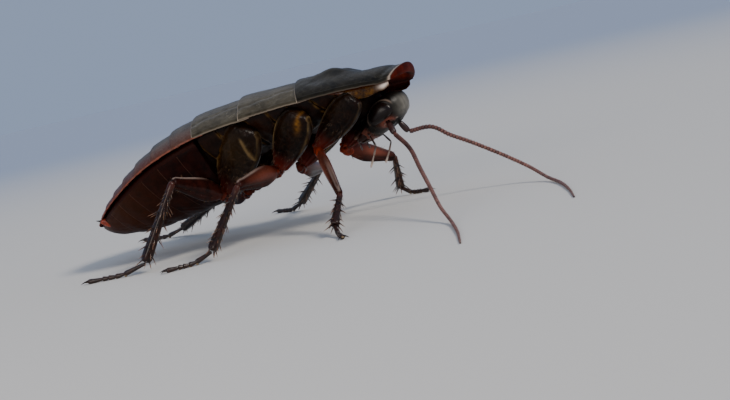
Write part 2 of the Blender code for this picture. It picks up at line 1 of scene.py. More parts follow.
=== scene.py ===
"""Looks of a wingless hissing cockroach, life size, as a museum model.

Lengths are millimetres in the animal's own axes until a piece is settled: +X is its front, +Y
its left, +Z up. Most of the body lies along one curved body line: s is the distance along it
from just ahead of the hood's lip, y the distance to the left and h the height above it.
"""

import math
import random

import bpy
import numpy as np
from mathutils import Matrix, Vector


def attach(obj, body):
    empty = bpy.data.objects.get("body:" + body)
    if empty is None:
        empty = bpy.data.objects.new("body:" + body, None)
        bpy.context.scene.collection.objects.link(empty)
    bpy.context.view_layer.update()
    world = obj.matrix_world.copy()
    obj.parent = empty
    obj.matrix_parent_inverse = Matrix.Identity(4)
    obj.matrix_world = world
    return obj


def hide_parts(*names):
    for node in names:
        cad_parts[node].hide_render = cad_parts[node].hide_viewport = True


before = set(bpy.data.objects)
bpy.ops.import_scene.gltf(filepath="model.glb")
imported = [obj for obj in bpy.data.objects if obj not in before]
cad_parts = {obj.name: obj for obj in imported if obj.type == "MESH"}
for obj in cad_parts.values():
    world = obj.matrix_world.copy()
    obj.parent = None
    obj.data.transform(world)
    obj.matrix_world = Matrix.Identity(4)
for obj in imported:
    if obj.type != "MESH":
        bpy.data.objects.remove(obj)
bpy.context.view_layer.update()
bpy.ops.object.select_all(action="DESELECT")

MM = 0.001
ORIGIN = Vector((10.4, -10.4, 0.0))
SIDES = (("right", -1), ("left", 1))

# Body line in side view, as (x, z), and the body's roll
BODY_LINE = ((31.5, 20.1), (22.0, 20.2), (14.0, 19.8), (5.0, 18.9),
             (-4.0, 17.5), (-12.9, 14.7), (-22.0, 10.5), (-30.0, 6.7))
BODY_ROLL = math.radians(5.0)

# Places along the body line
LIP = 1.0
HOOD_CORNER = 2.6
FOLD_START = 3.3
FOLD_LENGTH = 9.4
NECK = 10.0
NECK_ROOT = (11.5, 0.0, -1.0)
PRONOTUM_END = 17.6
HOOD_LENGTH = PRONOTUM_END - LIP
MESONOTUM_END = 27.2
THORAX_END = 35.4
TERGITE_ENDS = (39.6, 43.8, 47.8, 51.5, 55.0, 58.3, 61.3)
TAIL_END = 63.6
WIDEST = 41.0
LINE_END = 64.2

# Cross-sections
HALF_WIDTH = 13.0
FRONT_HALF_WIDTH = 6.3
CREST = 4.9
FRONT_CREST = 2.6
CREST_PLACE = 34.0
BELLY = 9.7
BELLY_PLACE = 38.0
BELLY_FRONT_DROP = 1.6
THORAX_DEPTH = 4.8
THORAX_DEPTHS = (0.36, 0.7, 0.95, 1.0, 1.0, 1.03, 1.1, 1.25)
THORAX_SHARE = 0.84
REAR_BULGE = 1.8
REAR_BULGE_END = 24.0
STERNITE_BOW = 1.5
RIM_DEPTH = 0.26
PLATE_EDGE = 0.8
PLATE_MIDDLE = 1.3
HEM_STEP = 0.22
TERGITE_WALL = 0.42
TUCK = 1.6
EDGE_ROUND = 0.4

# Head: its own axes run from the mouth to the crown, to the left and out through the face
HEAD_CENTRE = Vector((24.2, 0.0, 15.5))
HEAD_PITCH = math.radians(33.0)
HEAD_YAW = math.radians(-8.0)
HEAD_SECTIONS = (
    # along the head, half width, half thickness
    (-5.3, 0.0, 0.0), (-4.9, 1.5, 1.0), (-4.0, 2.2, 1.5), (-2.6, 2.8, 2.0), (-0.8, 3.3, 2.35),
    (1.0, 3.7, 2.5), (2.6, 3.6, 2.45), (3.9, 2.9, 2.1), (4.8, 1.7, 1.3), (5.3, 0.0, 0.0))
EYE_CENTRE = (1.0, 3.15, 0.35)
EYE_RADII = (2.2, 1.0, 1.45)
SOCKET = (0.7, 1.9)
OCELLUS = (2.15, 1.5)
NAPE = (1.2, 0.0, -1.6)
MAXILLARY_PALP = ((-3.4, 1.9, 0.2), ((1.5, 1.5, -1.7), (1.6, 1.8, -3.4), (0.4, 1.8, -4.7),
                                     (0.0, 1.6, -5.9)))
LABIAL_PALP = ((-4.2, 0.9, -0.9), ((-0.6, 0.7, -1.6), (-0.2, 0.9, -3.4)))
FACE_HAIRS = 90
CROWN_HAIRS = 50
SCAPE_ROOT = (0.7, 1.9, 1.6)
SCAPE_TIP = (0.5, 2.9, 4.3)
ANTENNA_ROUTES = {
    "right": ((29.7, -8.0, 10.0), (32.0, -13.0, 7.1), (34.6, -19.0, 4.4), (37.1, -25.0, 2.0),
              (39.8, -31.0, 0.5), (43.0, -41.0, 0.25), (45.4, -50.0, 0.14)),
    "left": ((30.9, 3.2, 11.9), (33.6, 3.8, 9.9), (36.7, 4.2, 8.0), (41.1, 4.0, 5.2),
             (45.6, 2.0, 2.5), (49.2, -2.4, 0.65), (52.2, -9.0, 0.3), (54.9, -18.0, 0.2),
             (57.0, -27.0, 0.14)),
}
ANTENNA_RADII = (0.43, 0.38, 0.31, 0.25, 0.12)
CERCUS_ROOT = (60.4, 3.3, -1.2)
CERCUS_TIP = (62.0, 4.2, 0.2)
CERCUS_POINT = 0.35
CERCUS_RINGS = 5
ROOT_RING = 0.9
RING = 0.55
RING_HAIRS = 6

# Legs: coxa root, trochanter, knee, ankle and toe, with the tibia's count of main spines
LEGS = {
    "front_right": ((20.6, -7.4, 18.2), (13.4, -4.4, 12.7), (18.8, -14.5, 5.6),
                    (18.6, -19.8, 1.5), (21.4, -25.4, 0.4), 8),
    "front_left": ((20.6, 7.4, 17.0), (15.0, 3.8, 11.2), (20.6, 13.4, 7.4),
                   (19.6, 16.2, 1.5), (24.8, 15.0, 0.4), 8),
    "middle_right": ((12.0, -8.8, 17.4), (6.3, -4.9, 10.5), (3.8, -18.2, 10.4),
                     (-1.2, -22.6, 1.5), (-7.6, -26.4, 0.4), 11),
    "middle_left": ((12.0, 8.8, 15.9), (6.3, 4.9, 9.6), (5.4, 18.0, 7.6),
                    (-2.2, 24.0, 1.5), (-8.6, 28.0, 0.4), 11),
    "hind_right": ((2.6, -9.4, 16.6), (-4.0, -4.8, 8.3), (-7.0, -18.2, 13.0),
                   (-13.4, -21.5, 1.5), (-23.6, -22.2, 0.4), 14),
    "hind_left": ((2.6, 9.4, 14.9), (-4.0, 4.8, 7.4), (-13.6, 14.4, 6.2),
                  (-25.2, 20.4, 1.5), (-35.0, 23.4, 0.4), 14),
}
COXA_WIDTH = {"front": 2.5, "middle": 3.0, "hind": 3.6}
FEMUR_WIDTH = {"front": 1.55, "middle": 1.65, "hind": 1.85}
TIBIA_WIDTH = {"front": 0.62, "middle": 0.68, "hind": 0.75}
COXA_PROFILE = ((-0.3, 0.5), (-0.22, 0.82), (-0.06, 1.04), (0.16, 1.1), (0.42, 0.98),
                (0.66, 0.74), (0.86, 0.5), (0.96, 0.38))
HIP_LOBES = 7
HIP_HAIRS = 110
THIGH_HAIRS = 90
HIP_THORNS = ((0.12, 1.5), (0.3, 0.9))
TARSOMERES = (0.38, 0.15, 0.12, 0.10, 0.25)
SPINE_LENGTH = 1.7
SPINE_ROWS = (65, 150, 235, 320)
ANKLE_SPINES = 5
SHIN_BRISTLES = 90

# Least heights above the floor, of the feet's undersides, hair tips and spine tips
FOOT_LEVEL = 0.005
HAIR_LEVEL = 0.05
SPINE_LEVEL = 0.3

# The picture: 730 by 400 pixels, taken from the animal's front right with the camera rolled
PICTURE = (730, 400)
CAMERA_AZIMUTH = math.radians(18.0)
CAMERA_ELEVATION = math.radians(6.0)
CAMERA_ROLL = math.radians(13.0)
CAMERA_DISTANCE = 250.0
CAMERA_TARGET = Vector((0.0, 0.0, 11.0))
TARGET_PIXEL = (255, 170)
PIXELS_PER_MM = 5.9
SENSOR = 36.0

# Room and floor tones: the floor fades into the room with distance
ROOM = "#9AABC9"
FLOOR_NEAR = "#CBC9C4"
FLOOR_FAR = "#97A4BA"
ROOM_STRENGTH = 0.86

# Floor's radius and the distances between which it fades, in metres
FLOOR_RADIUS = 4.0
FLOOR_FADE = (0.12, 0.75)

# Chitin's refractive index, its wax coat, how far red, green and blue light spreads in it in
# metres, the spacing of the eyes' facets in millimetres and the width of a drawn crease
CHITIN_IOR = 1.56
COAT_ROUGHNESS = 0.12
SCATTER = (0.0006, 0.0003, 0.0002)
FACET = 0.085
CREASE = 0.022

# Points closer than this are merged, and edges flatter than this are shaded smooth
MERGE = 2e-4
SMOOTH_ANGLE = math.radians(50)


# Camera, floor and light

def photo_camera():
    a, e, r = CAMERA_AZIMUTH, CAMERA_ELEVATION, CAMERA_ROLL
    back = Vector((math.sin(a) * math.cos(e), -math.cos(a) * math.cos(e), math.sin(e)))
    level = Vector((math.cos(a), math.sin(a), 0.0))
    upright = back.cross(level)
    right = level * math.cos(r) - upright * math.sin(r)
    up = level * math.sin(r) + upright * math.cos(r)
    focal = PIXELS_PER_MM * CAMERA_DISTANCE
    aside = (TARGET_PIXEL[0] - PICTURE[0] / 2) / focal
    above = (PICTURE[1] / 2 - TARGET_PIXEL[1]) / focal
    place = CAMERA_TARGET - (right * aside + up * above - back) * CAMERA_DISTANCE
    data = bpy.data.cameras.new("photo_camera")
    data.sensor_width = SENSOR
    data.lens = focal * SENSOR / PICTURE[0]
    data.clip_start = 0.01
    camera = bpy.data.objects.new("photo_camera", data)
    bpy.context.scene.collection.objects.link(camera)
    turn = Matrix((right, up, back)).transposed().to_4x4()
    camera.matrix_world = Matrix.Translation((place - ORIGIN) * MM) @ turn
    bpy.context.scene.camera = camera


def lamp(name, kind, source, power, tint):
    """A light that shines from a place in millimetres onto the middle of the animal."""
    data = bpy.data.lights.new(name, kind)
    data.energy = power
    data.color = sRGB(tint)[:3]
    light = bpy.data.objects.new(name, data)
    bpy.context.scene.collection.objects.link(light)
    light.location = Vector(source) * MM
    light.rotation_euler = Vector(source).to_track_quat("Z", "Y").to_euler()
    return data


def studio():
    """A soft sun in front, a faint one behind, a low softbox and a plain blue-grey room."""
    lamp("key_light", "SUN", (250, -80, 220), 2.4, "#FFF6EA").angle = math.radians(14)
    lamp("top_light", "SUN", (-140, 240, 260), 0.22, "#FFFAF0").angle = math.radians(40)
    fill = lamp("fill_light", "AREA", (-60, -330, 110), 0.4, "#FFF3E4")
    fill.shape = "RECTANGLE"
    fill.size, fill.size_y = 0.2, 0.1
    world = bpy.data.worlds.new("studio_air")
    world.use_nodes = True
    world.node_tree.nodes["Background"].inputs["Color"].default_value = sRGB(ROOM)
    world.node_tree.nodes["Background"].inputs["Strength"].default_value = ROOM_STRENGTH
    bpy.context.scene.world = world
    bpy.ops.mesh.primitive_circle_add(vertices=96, radius=FLOOR_RADIUS, fill_type="NGON")
    floor = bpy.context.object
    floor.name = "floor"
    paper = bpy.data.materials.new("pale_paper_floor")
    paper.use_nodes = True
    tree = paper.node_tree
    shader = tree.nodes["Principled BSDF"]
    place = node(tree, "TexCoord").outputs["Object"]
    distance = node(tree, "VectorMath", {0: place}, operation="LENGTH").outputs["Value"]
    far = node(tree, "MapRange", {"Value": distance, "From Min": FLOOR_FADE[0],
                                  "From Max": FLOOR_FADE[1]},
               interpolation_type="SMOOTHSTEP").outputs[0]
    tone = node(tree, "Mix", {0: far, 6: sRGB(FLOOR_NEAR), 7: sRGB(FLOOR_FAR)}, data_type="RGBA")
    tree.links.new(tone.outputs[2], shader.inputs["Base Color"])
    shader.inputs["Roughness"].default_value = 0.9
    floor.data.materials.append(paper)


# Materials

def sRGB(code):
    """A hex colour as linear red, green, blue and alpha."""
    parts = [int(code[i:i + 2], 16) / 255 for i in (1, 3, 5)]
    return (*[c / 12.92 if c <= 0.04045 else ((c + 0.055) / 1.055) ** 2.4 for c in parts], 1.0)


def node(tree, kind, inputs=None, **options):
    """Adds a node: options are its settings, inputs its values or the sockets linked to them."""
    new = tree.nodes.new("ShaderNode" + kind)
    for name, value in options.items():
        setattr(new, name, value)
    for name, value in (inputs or {}).items():
        if isinstance(value, bpy.types.NodeSocket):
            tree.links.new(value, new.inputs[name])
        else:
            new.inputs[name].default_value = value
    return new


def cuticle(name, deep, lit, tints=(), gloss=(0.25, 0.4), mottle=2.0, grain=0.14, relief=0.006,
            dents=0.9, dent_depth=0.02, stretch=(1, 1, 1), coat=0.0, soft=0.0, shine=0.4,
            creases=None):
    """Insect cuticle: two mottled tones under a fine grain, tinted where attributes are painted.

    Mottle, grain and dents are pattern sizes in mm, relief and dent_depth are heights in mm.
    Creases are thin squiggling lines: their spacing in mm, their tone and the attribute that
    says where they are.
    """
    material = bpy.data.materials.new(name)
    material.use_nodes = True
    tree = material.node_tree
    shader = tree.nodes["Principled BSDF"]
    place = node(tree, "TexCoord").outputs["Object"]
    clouds = node(tree, "TexNoise", {"Vector": place, "Scale": 1 / (mottle * MM), "Detail": 5.0,
                                     "Roughness": 0.6}).outputs["Fac"]
    spread = node(tree, "MapRange", {"Value": clouds, "From Min": 0.35, "From Max": 0.65})
    colour = node(tree, "Mix", {0: spread.outputs[0], 6: sRGB(deep), 7: sRGB(lit)},
                  data_type="RGBA").outputs[2]
    for attribute, tint in tints:
        painted = node(tree, "Attribute", attribute_name=attribute).outputs["Fac"]
        colour = node(tree, "Mix", {0: painted, 6: colour, 7: sRGB(tint)},
                      data_type="RGBA").outputs[2]
    if creases:
        spacing, tone, where = creases
        swirl = node(tree, "TexNoise", {"Vector": place, "Scale": 1 / (spacing * MM), "Detail": 4.0,
                                        "Distortion": 0.8}).outputs["Fac"]
        away = node(tree, "Math", {0: swirl, 1: 0.5}, operation="SUBTRACT").outputs[0]
        away = node(tree, "Math", {0: away}, operation="ABSOLUTE").outputs[0]
        line = node(tree, "MapRange", {"Value": away, "From Min": 0.0, "From Max": CREASE,
                                       "To Min": 1.0, "To Max": 0.0}).outputs[0]
        painted = node(tree, "Attribute", attribute_name=where).outputs["Fac"]
        line = node(tree, "Math", {0: line, 1: painted}, operation="MULTIPLY").outputs[0]
        colour = node(tree, "Mix", {0: line, 6: colour, 7: sRGB(tone)}, data_type="RGBA").outputs[2]
    tree.links.new(colour, shader.inputs["Base Color"])
    fine = node(tree, "TexNoise", {"Vector": place, "Scale": 1 / (grain * MM), "Detail": 3.0})
    rough = node(tree, "MapRange", {"Value": fine.outputs["Fac"], "From Min": 0.3, "From Max": 0.7,
                                    "To Min": gloss[0], "To Max": gloss[1]})
    tree.links.new(rough.outputs[0], shader.inputs["Roughness"])
    drawn = node(tree, "Mapping", {"Vector": place, "Scale": stretch}).outputs["Vector"]
    hollows = node(tree, "TexNoise", {"Vector": drawn, "Scale": 1 / (dents * MM), "Detail": 2.0})
    low = node(tree, "Bump", {"Height": hollows.outputs["Fac"], "Strength": 1.0,
                              "Distance": dent_depth * MM})
    high = node(tree, "Bump", {"Height": fine.outputs["Fac"], "Strength": 1.0,
                               "Distance": relief * MM, "Normal": low.outputs["Normal"]})
    tree.links.new(high.outputs["Normal"], shader.inputs["Normal"])
    shader.inputs["IOR"].default_value = CHITIN_IOR
    shader.inputs["Specular IOR Level"].default_value = shine
    shader.inputs["Coat Weight"].default_value = coat
    shader.inputs["Coat Roughness"].default_value = COAT_ROUGHNESS
    shader.inputs["Subsurface Weight"].default_value = soft
    shader.inputs["Subsurface Radius"].default_value = SCATTER
    return material


# Hood: leathery, near black chitin with a satin gloss and a pale lip
LEATHERY = dict(gloss=(0.34, 0.48), grain=0.16, relief=0.012, dents=0.9, dent_depth=0.035,
                stretch=(1.4, 0.7, 1.0), shine=0.09)
BACK = cuticle("satin_black_back_chitin", "#0D0B07", "#211D15",
               (("hem", "#A3937E"), ("lip", "#A39284"), ("rim", "#2E0803")),
               creases=(1.7, "#4E4A40", "lobe"), **LEATHERY)
# Second and third back plates: the same chitin, painted a lighter olive grey than the hood as a painted
# sheen, with pale thin hems
SHEEN_PAINTED_BACK = cuticle("sheen_painted_grey_back_chitin", "#2A251B", "#4A4437", (("hem", "#A3937E"),),
                    creases=(1.7, "#7C776A", "lobe"), **LEATHERY)
# Inner side of the back plates: thinner, smoother chitin, a dull dark maroon, with a brighter red
# painted light deep in the hood's shaded hollow
LINING = cuticle("dull_maroon_lining", "#330903", "#521408", (("deep", "#7E2810"),), gloss=(0.5, 0.62),
                 mottle=1.6, grain=0.2, relief=0.008, shine=0.03)
# Tergites: the same chitin, its grey-brown partly a painted sheen, which thins to orange-brown along
# the very side margin
TERGITE = cuticle("satin_tergite_chitin", "#231E17", "#443D33",
                  (("hem", "#5E4A38"), ("warm", "#6A2E1E"), ("side", "#9E5640")),
                  gloss=(0.36, 0.5), grain=0.16, relief=0.014, dents=0.6, dent_depth=0.04,
                  stretch=(2.2, 0.45, 1.0), shine=0.12, creases=(1.4, "#6E5F54", "warm"))
# Sternites: satin mahogany chitin, near black towards the front, with thin pale brown borders
STERNITE = cuticle("satin_sternite_chitin", "#110504", "#290D08",
                   (("tail", "#42220F"), ("hem", "#5E3C2C")),
                   gloss=(0.3, 0.44), dents=1.6, dent_depth=0.03, shine=0.05)
# Side plates of the chest: dark brown glossy chitin with gold-brown borders
FLANK = cuticle("glossy_flank_chitin", "#0C0402", "#241006", (("border", "#6A4C22"),),
                gloss=(0.28, 0.42), dents=0.9, dent_depth=0.06, shine=0.1)
# Soft skin between the plates: dull dark brown, wrinkled, with olive-gold patches on the chest
SKIN = cuticle("folded_joint_skin", "#0C0503", "#1E0C06", (("gold", "#6A4A14"), ("red", "#2C0E08")),
               gloss=(0.45, 0.6), mottle=1.2, grain=0.25, relief=0.03, dents=0.7, dent_depth=0.08,
               soft=0.1, shine=0.06)
# Hood folds: smooth glossy olive-gold skin outside, maroon inside, on the upper half and towards the
# rear, with a painted highlight on the front end
FOLD = cuticle("glossy_hood_fold", "#281504", "#5A3806", (("inner", "#4A1206"), ("pale", "#EEDCCC")),
               gloss=(0.2, 0.32), mottle=0.7, grain=0.2, relief=0.012, dents=0.8, dent_depth=0.06,
               shine=0.12, coat=0.1)
# Head capsule: smooth black chitin with a broad pale grey painted highlight on the crown and brown
# sockets
FACE = cuticle("satin_head_chitin", "#070504", "#14110D",
               (("bloom", "#8A867C"), ("brown", "#93503F"), ("pale", "#B49C8A")),
               gloss=(0.3, 0.44), grain=0.1, relief=0.006, dents=0.8, dent_depth=0.03, shine=0.12)
# Mouthparts: dark brown horn, lighter at the tips
MOUTH = cuticle("amber_mouth_chitin", "#150704", "#32130A", (("pale", "#7A543A"),),
                gloss=(0.26, 0.4), mottle=0.8, grain=0.08, relief=0.004, shine=0.15)
# Feelers: pinkish red-brown rings, dark in the joints between them
FEELER = cuticle("ringed_feeler_chitin", "#33191A", "#70463F",
                 (("far", "#92655A"), ("joint", "#190B0A")),
                 gloss=(0.28, 0.42), mottle=1.5, grain=0.08, relief=0.004, shine=0.3)
# Palps: thin dark brown chitin that ends in a whitish tip
PALP = cuticle("brown_palp_chitin", "#160A06", "#341A12", (("tip", "#C9B3A2"),),
               gloss=(0.3, 0.45), mottle=0.8, grain=0.08, relief=0.003, soft=0.1)
# Cerci: orange-red ringed nubs with a dark point
CERCUS = cuticle("orange_cercus_chitin", "#7A2410", "#B4431C", (("point", "#140A07"),),
                 gloss=(0.3, 0.45), mottle=0.6, grain=0.08, relief=0.004, soft=0.15)
# Coxae: glossy dark brown with pale borders, gold and olive marks and a reddish foot
COXA = cuticle("glossy_coxa_chitin", "#060201", "#1A0A04",
               (("olive", "#33220A"), ("gold", "#7A5018"), ("foot", "#5A1C12"), ("border", "#8E7248")),
               gloss=(0.28, 0.42), mottle=1.1, dents=0.7, dent_depth=0.06, shine=0.1,
               creases=(1.3, "#4E3A28", "rough"))
# Trochanters: thin red-brown chitin round the hip joints, bright orange-red on the front legs
TROCHANTER = cuticle("red_brown_hip_chitin", "#200703", "#4C170A", (("warm", "#9A3412"),),
                     gloss=(0.2, 0.34), mottle=0.45, dents=0.4, dent_depth=0.08, soft=0.05, shine=0.12)
# Femora: glossy dark red-brown, lighter at the hip, pinkish on the front pairs, the pink partly a
# painted sheen, and a pale painted highlight along the upper edge
FEMUR = cuticle("glossy_femur_chitin", "#120504", "#2C100B",
                (("base", "#5E2416"), ("pink", "#884A39"), ("edge", "#A89488")),
                gloss=(0.24, 0.38), mottle=1.2, dents=0.8, dent_depth=0.035, shine=0.05, coat=0.1)
# Tibiae, their spines and the claws: hard near-black chitin
TIBIA = cuticle("hard_tibia_chitin", "#130805", "#2A140D", (("base", "#3E1C12"),),
                gloss=(0.22, 0.34), mottle=1.0, grain=0.1, relief=0.008, shine=0.2, coat=0.1)
SPINE = cuticle("horny_spine_chitin", "#0C0605", "#2A130B", (("tip", "#8A6248"),),
                gloss=(0.2, 0.32), mottle=0.5)
# Tarsi: brown joints over soft pale pads
TARSUS = cuticle("brown_tarsus_chitin", "#150A06", "#30180F", (), gloss=(0.26, 0.42), mottle=0.6,
                 grain=0.08)
PAD = cuticle("soft_tarsus_pad", "#6E5A40", "#93805F", (), gloss=(0.5, 0.65), mottle=0.4,
              soft=0.1)
# Bristles: fine tan hairs that catch the light
BRISTLE = cuticle("tan_bristle", "#4A3020", "#8A6A48", (), gloss=(0.35, 0.5), mottle=0.5)


def eye_material():
    """A compound eye: black, glossy, with its facets drawn coarser than real so that they show."""
    material = bpy.data.materials.new("faceted_eye")
    material.use_nodes = True
    tree = material.node_tree
    shader = tree.nodes["Principled BSDF"]
    place = node(tree, "TexCoord").outputs["Object"]
    facets = node(tree, "TexVoronoi", {"Vector": place, "Scale": 1 / (FACET * MM),
                                       "Randomness": 0.25})
    domes = node(tree, "Bump", {"Height": facets.outputs["Distance"], "Strength": 1.0,
                                "Distance": 0.006 * MM}, invert=True)
    tree.links.new(domes.outputs["Normal"], shader.inputs["Normal"])
    tone = node(tree, "Mix", {0: facets.outputs["Distance"], 6: sRGB("#1A0E09"),
                              7: sRGB("#050303")}, data_type="RGBA")
    tree.links.new(tone.outputs[2], shader.inputs["Base Color"])
    shader.inputs["Roughness"].default_value = 0.3
    shader.inputs["Specular IOR Level"].default_value = 0.22
    shader.inputs["IOR"].default_value = CHITIN_IOR
    return material


EYE = eye_material()


# Working on meshes

def take(name):
    """Names the primitive that was just added."""
    thing = bpy.context.object
    thing.name = name
    thing.data.name = name
    return thing


def joined(name, parts):
    """One piece made of several."""
    select_only(parts[0])
    for part in parts:
        part.select_set(True)
    bpy.ops.object.join()
    return take(name)


def points_of(thing):
    found = np.empty(len(thing.data.vertices) * 3)
    thing.data.vertices.foreach_get("co", found)
    return found.reshape(-1, 3)


def move_points(thing, x, y, z):
    thing.data.vertices.foreach_set("co", np.stack([x, y, z], axis=-1).ravel())
    thing.data.update()


def paint(thing, attribute, values):
    """Writes a value from 0 to 1 on each vertex for the material to read."""
    layer = thing.data.attributes.new(attribute, "FLOAT", "POINT")
    layer.data.foreach_set("value", np.clip(np.broadcast_to(values, len(layer.data)), 0, 1))


def select_only(thing):
    bpy.ops.object.select_all(action="DESELECT")
    thing.select_set(True)
    bpy.context.view_layer.objects.active = thing


def close_up(thing):
    """Merges coinciding points, turns the faces outward and shades the piece smooth."""
    select_only(thing)
    bpy.ops.object.mode_set(mode="EDIT")
    bpy.ops.mesh.select_all(action="SELECT")
    bpy.ops.mesh.remove_doubles(threshold=MERGE)
    bpy.ops.mesh.normals_make_consistent(inside=False)
    bpy.ops.object.mode_set(mode="OBJECT")
    bpy.ops.object.shade_smooth_by_angle(angle=SMOOTH_ANGLE)


def soften(thing, levels):
    if not levels:
        return
    select_only(thing)
    smooth = thing.modifiers.new("smooth", "SUBSURF")
    smooth.levels = smooth.render_levels = levels
    bpy.ops.object.modifier_apply(modifier=smooth.name)


def settle(thing, place=Matrix.Identity(4)):
    """Moves a piece from its modelling axes to its place, in metres round the frame's origin."""
    thing.data.transform(Matrix.Scale(MM, 4) @ Matrix.Translation(-ORIGIN) @ place)
    thing.data.update()


def dress(thing, material, slot, *nodes):
    """Gives a finished piece its material and its body, and hides the imported parts of the nodes that
    it stands for.
    """
    thing.data.materials.clear()
    thing.data.materials.append(material)
    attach(thing, "root")
    if nodes:
        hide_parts(*nodes)


def install(thing, material, slot, *nodes, place=Matrix.Identity(4)):
    """Puts a piece at its place and dresses it."""
    settle(thing, place)
    dress(thing, material, slot, *nodes)


def present(thing, material, slot, *nodes, place=Matrix.Identity(4)):
    """Closes a modelled piece up, puts it at its place and dresses it."""
    close_up(thing)
    install(thing, material, slot, *nodes, place=place)


def line_inside(thing, material):
    """Gives the inner faces of a plate their own material."""
    thing.data.materials.append(material)
    for face, within in zip(thing.data.polygons, thing.data.attributes["inside"].data):
        face.material_index = int(within.value)


def axes_at(start, direction, across, size=(1, 1, 1)):
    """The placing and size of a piece modelled upright: z along direction, x along across."""
    z = Vector(direction).normalized()
    x = Vector(across)
    x = (x - z * x.dot(z)).normalized()
    turn = Matrix((x, z.cross(x), z)).transposed().to_4x4()
    return Matrix.Translation(Vector(start)) @ turn @ Matrix.Diagonal((*size, 1))


def many(name, master, placings, attribute=None, values=0.0):
    """One piece made of copies of a master mesh, each at its own placing and painted alike."""
    points = points_of(master)
    faces = [tuple(face.vertices) for face in master.data.polygons]
    verts = []
    polygons = []
    for placing in placings:
        turn = np.array(placing)
        shift = len(verts) * len(points)
        verts.append(points @ turn[:3, :3].T + turn[:3, 3])
        polygons.extend(tuple(k + shift for k in face) for face in faces)
    mesh = bpy.data.meshes.new(name)
    mesh.from_pydata(np.concatenate(verts).tolist(), [], polygons)
    thing = bpy.data.objects.new(name, mesh)
    bpy.context.scene.collection.objects.link(thing)
    if attribute:
        paint(thing, attribute, np.tile(values, len(placings)))
    select_only(thing)
    bpy.ops.object.shade_smooth_by_angle(angle=SMOOTH_ANGLE)
    return thing


# Smooth lines and the body's form

def smooth_line(points, steps=14):
    """A Catmull-Rom curve through the points, as a dense array."""
    points = [np.array(p, float) for p in points]
    ends = [2 * points[0] - points[1]] + points + [2 * points[-1] - points[-2]]
    curve = []
    for a, b, c, d in zip(ends, ends[1:], ends[2:], ends[3:]):
        for t in np.arange(steps) / steps:
            curve.append(0.5 * (2 * b + (c - a) * t + (2 * a - 5 * b + 4 * c - d) * t ** 2
                                + (3 * b - a - 3 * c + d) * t ** 3))
    return np.array(curve + [points[-1]])


class Route:
    """A smooth line and the distances along it."""

    def __init__(self, points):
        self.line = smooth_line(points)
        steps = np.linalg.norm(np.diff(self.line, axis=0), axis=1)
        self.distances = np.concatenate([[0.0], np.cumsum(steps)])
        self.length = self.distances[-1]

    def at(self, distance):
        return np.stack([np.interp(distance, self.distances, self.line[:, k])
                         for k in range(3)], axis=-1)

    def direction(self, distance, reach=0.3):
        ahead = self.at(np.minimum(distance + reach, self.length))
        step = ahead - self.at(np.maximum(distance - reach, 0.0))
        return step / np.linalg.norm(step, axis=-1, keepdims=True)


BODY = Route([(x, 0.0, z) for x, z in BODY_LINE])


def bump(x, width):
    return np.exp(-(x / width) ** 2)


def ease(x, low, high):
    """Smooth step from 0 at low to 1 at high."""
    share = np.clip((x - low) / (high - low), 0, 1)
    return share * share * (3 - 2 * share)


def fade(x, low, high):
    """Smooth step from 1 at low to 0 at high."""
    return 1 - ease(x, low, high)


def half_width(s):
    front = HALF_WIDTH - (HALF_WIDTH - FRONT_HALF_WIDTH) * (np.maximum(WIDEST - s, 0) / WIDEST) ** 1.9
    share = np.maximum(s - WIDEST, 0) / (LINE_END - WIDEST)
    return np.where(s < WIDEST, front, HALF_WIDTH * np.maximum(1 - share ** 2, 0.002) ** 0.75)


def crest(s):
    front = CREST - (CREST - FRONT_CREST) * (np.maximum(CREST_PLACE - s, 0) / CREST_PLACE) ** 2.2
    share = np.maximum(s - CREST_PLACE, 0) / (LINE_END - CREST_PLACE)
    return np.where(s < CREST_PLACE, front, CREST * np.maximum(1 - share ** 2, 0.01) ** 0.85)


def belly(s):
    ahead = np.maximum(BELLY_PLACE - s, 0) / (BELLY_PLACE - THORAX_END)
    front = BELLY - BELLY_FRONT_DROP * ahead ** 2
    share = np.maximum(s - BELLY_PLACE, 0) / (LINE_END - BELLY_PLACE)
    return np.where(s < BELLY_PLACE, front, BELLY * np.maximum(1 - share ** 1.6, 0.02) ** 0.6)


def arch(s, v):
    """Height of the smooth back above the body line at a share v of the half width."""
    return PLATE_EDGE / 2 + (crest(s) - PLATE_EDGE / 2) * np.maximum(1 - v * v, 0) ** 0.75


def arch_inside(s, v):
    return arch(s, v) - PLATE_EDGE - (PLATE_MIDDLE - PLATE_EDGE) * (1 - v * v)


def body_points(s, y, h):
    """Points of the body: plates and segments bow to the rear at their middle."""
    s, y, h = np.broadcast_arrays(s, y, h)
    v = np.clip(y / half_width(s), -1, 1)
    full = np.minimum(np.minimum((s / PRONOTUM_END) ** 2, (LINE_END - s) / REAR_BULGE_END), 1)
    s = s + REAR_BULGE * (1 - v * v) * full
    ahead = BODY.direction(s)
    up = np.stack([ahead[..., 2], np.zeros_like(s), -ahead[..., 0]], axis=-1)
    left = np.array([0.0, 1.0, 0.0])
    rolled_left = left * math.cos(BODY_ROLL) - up * math.sin(BODY_ROLL)
    rolled_up = up * math.cos(BODY_ROLL) + left * math.sin(BODY_ROLL)
    return BODY.at(s) + rolled_left * y[..., None] + rolled_up * h[..., None]


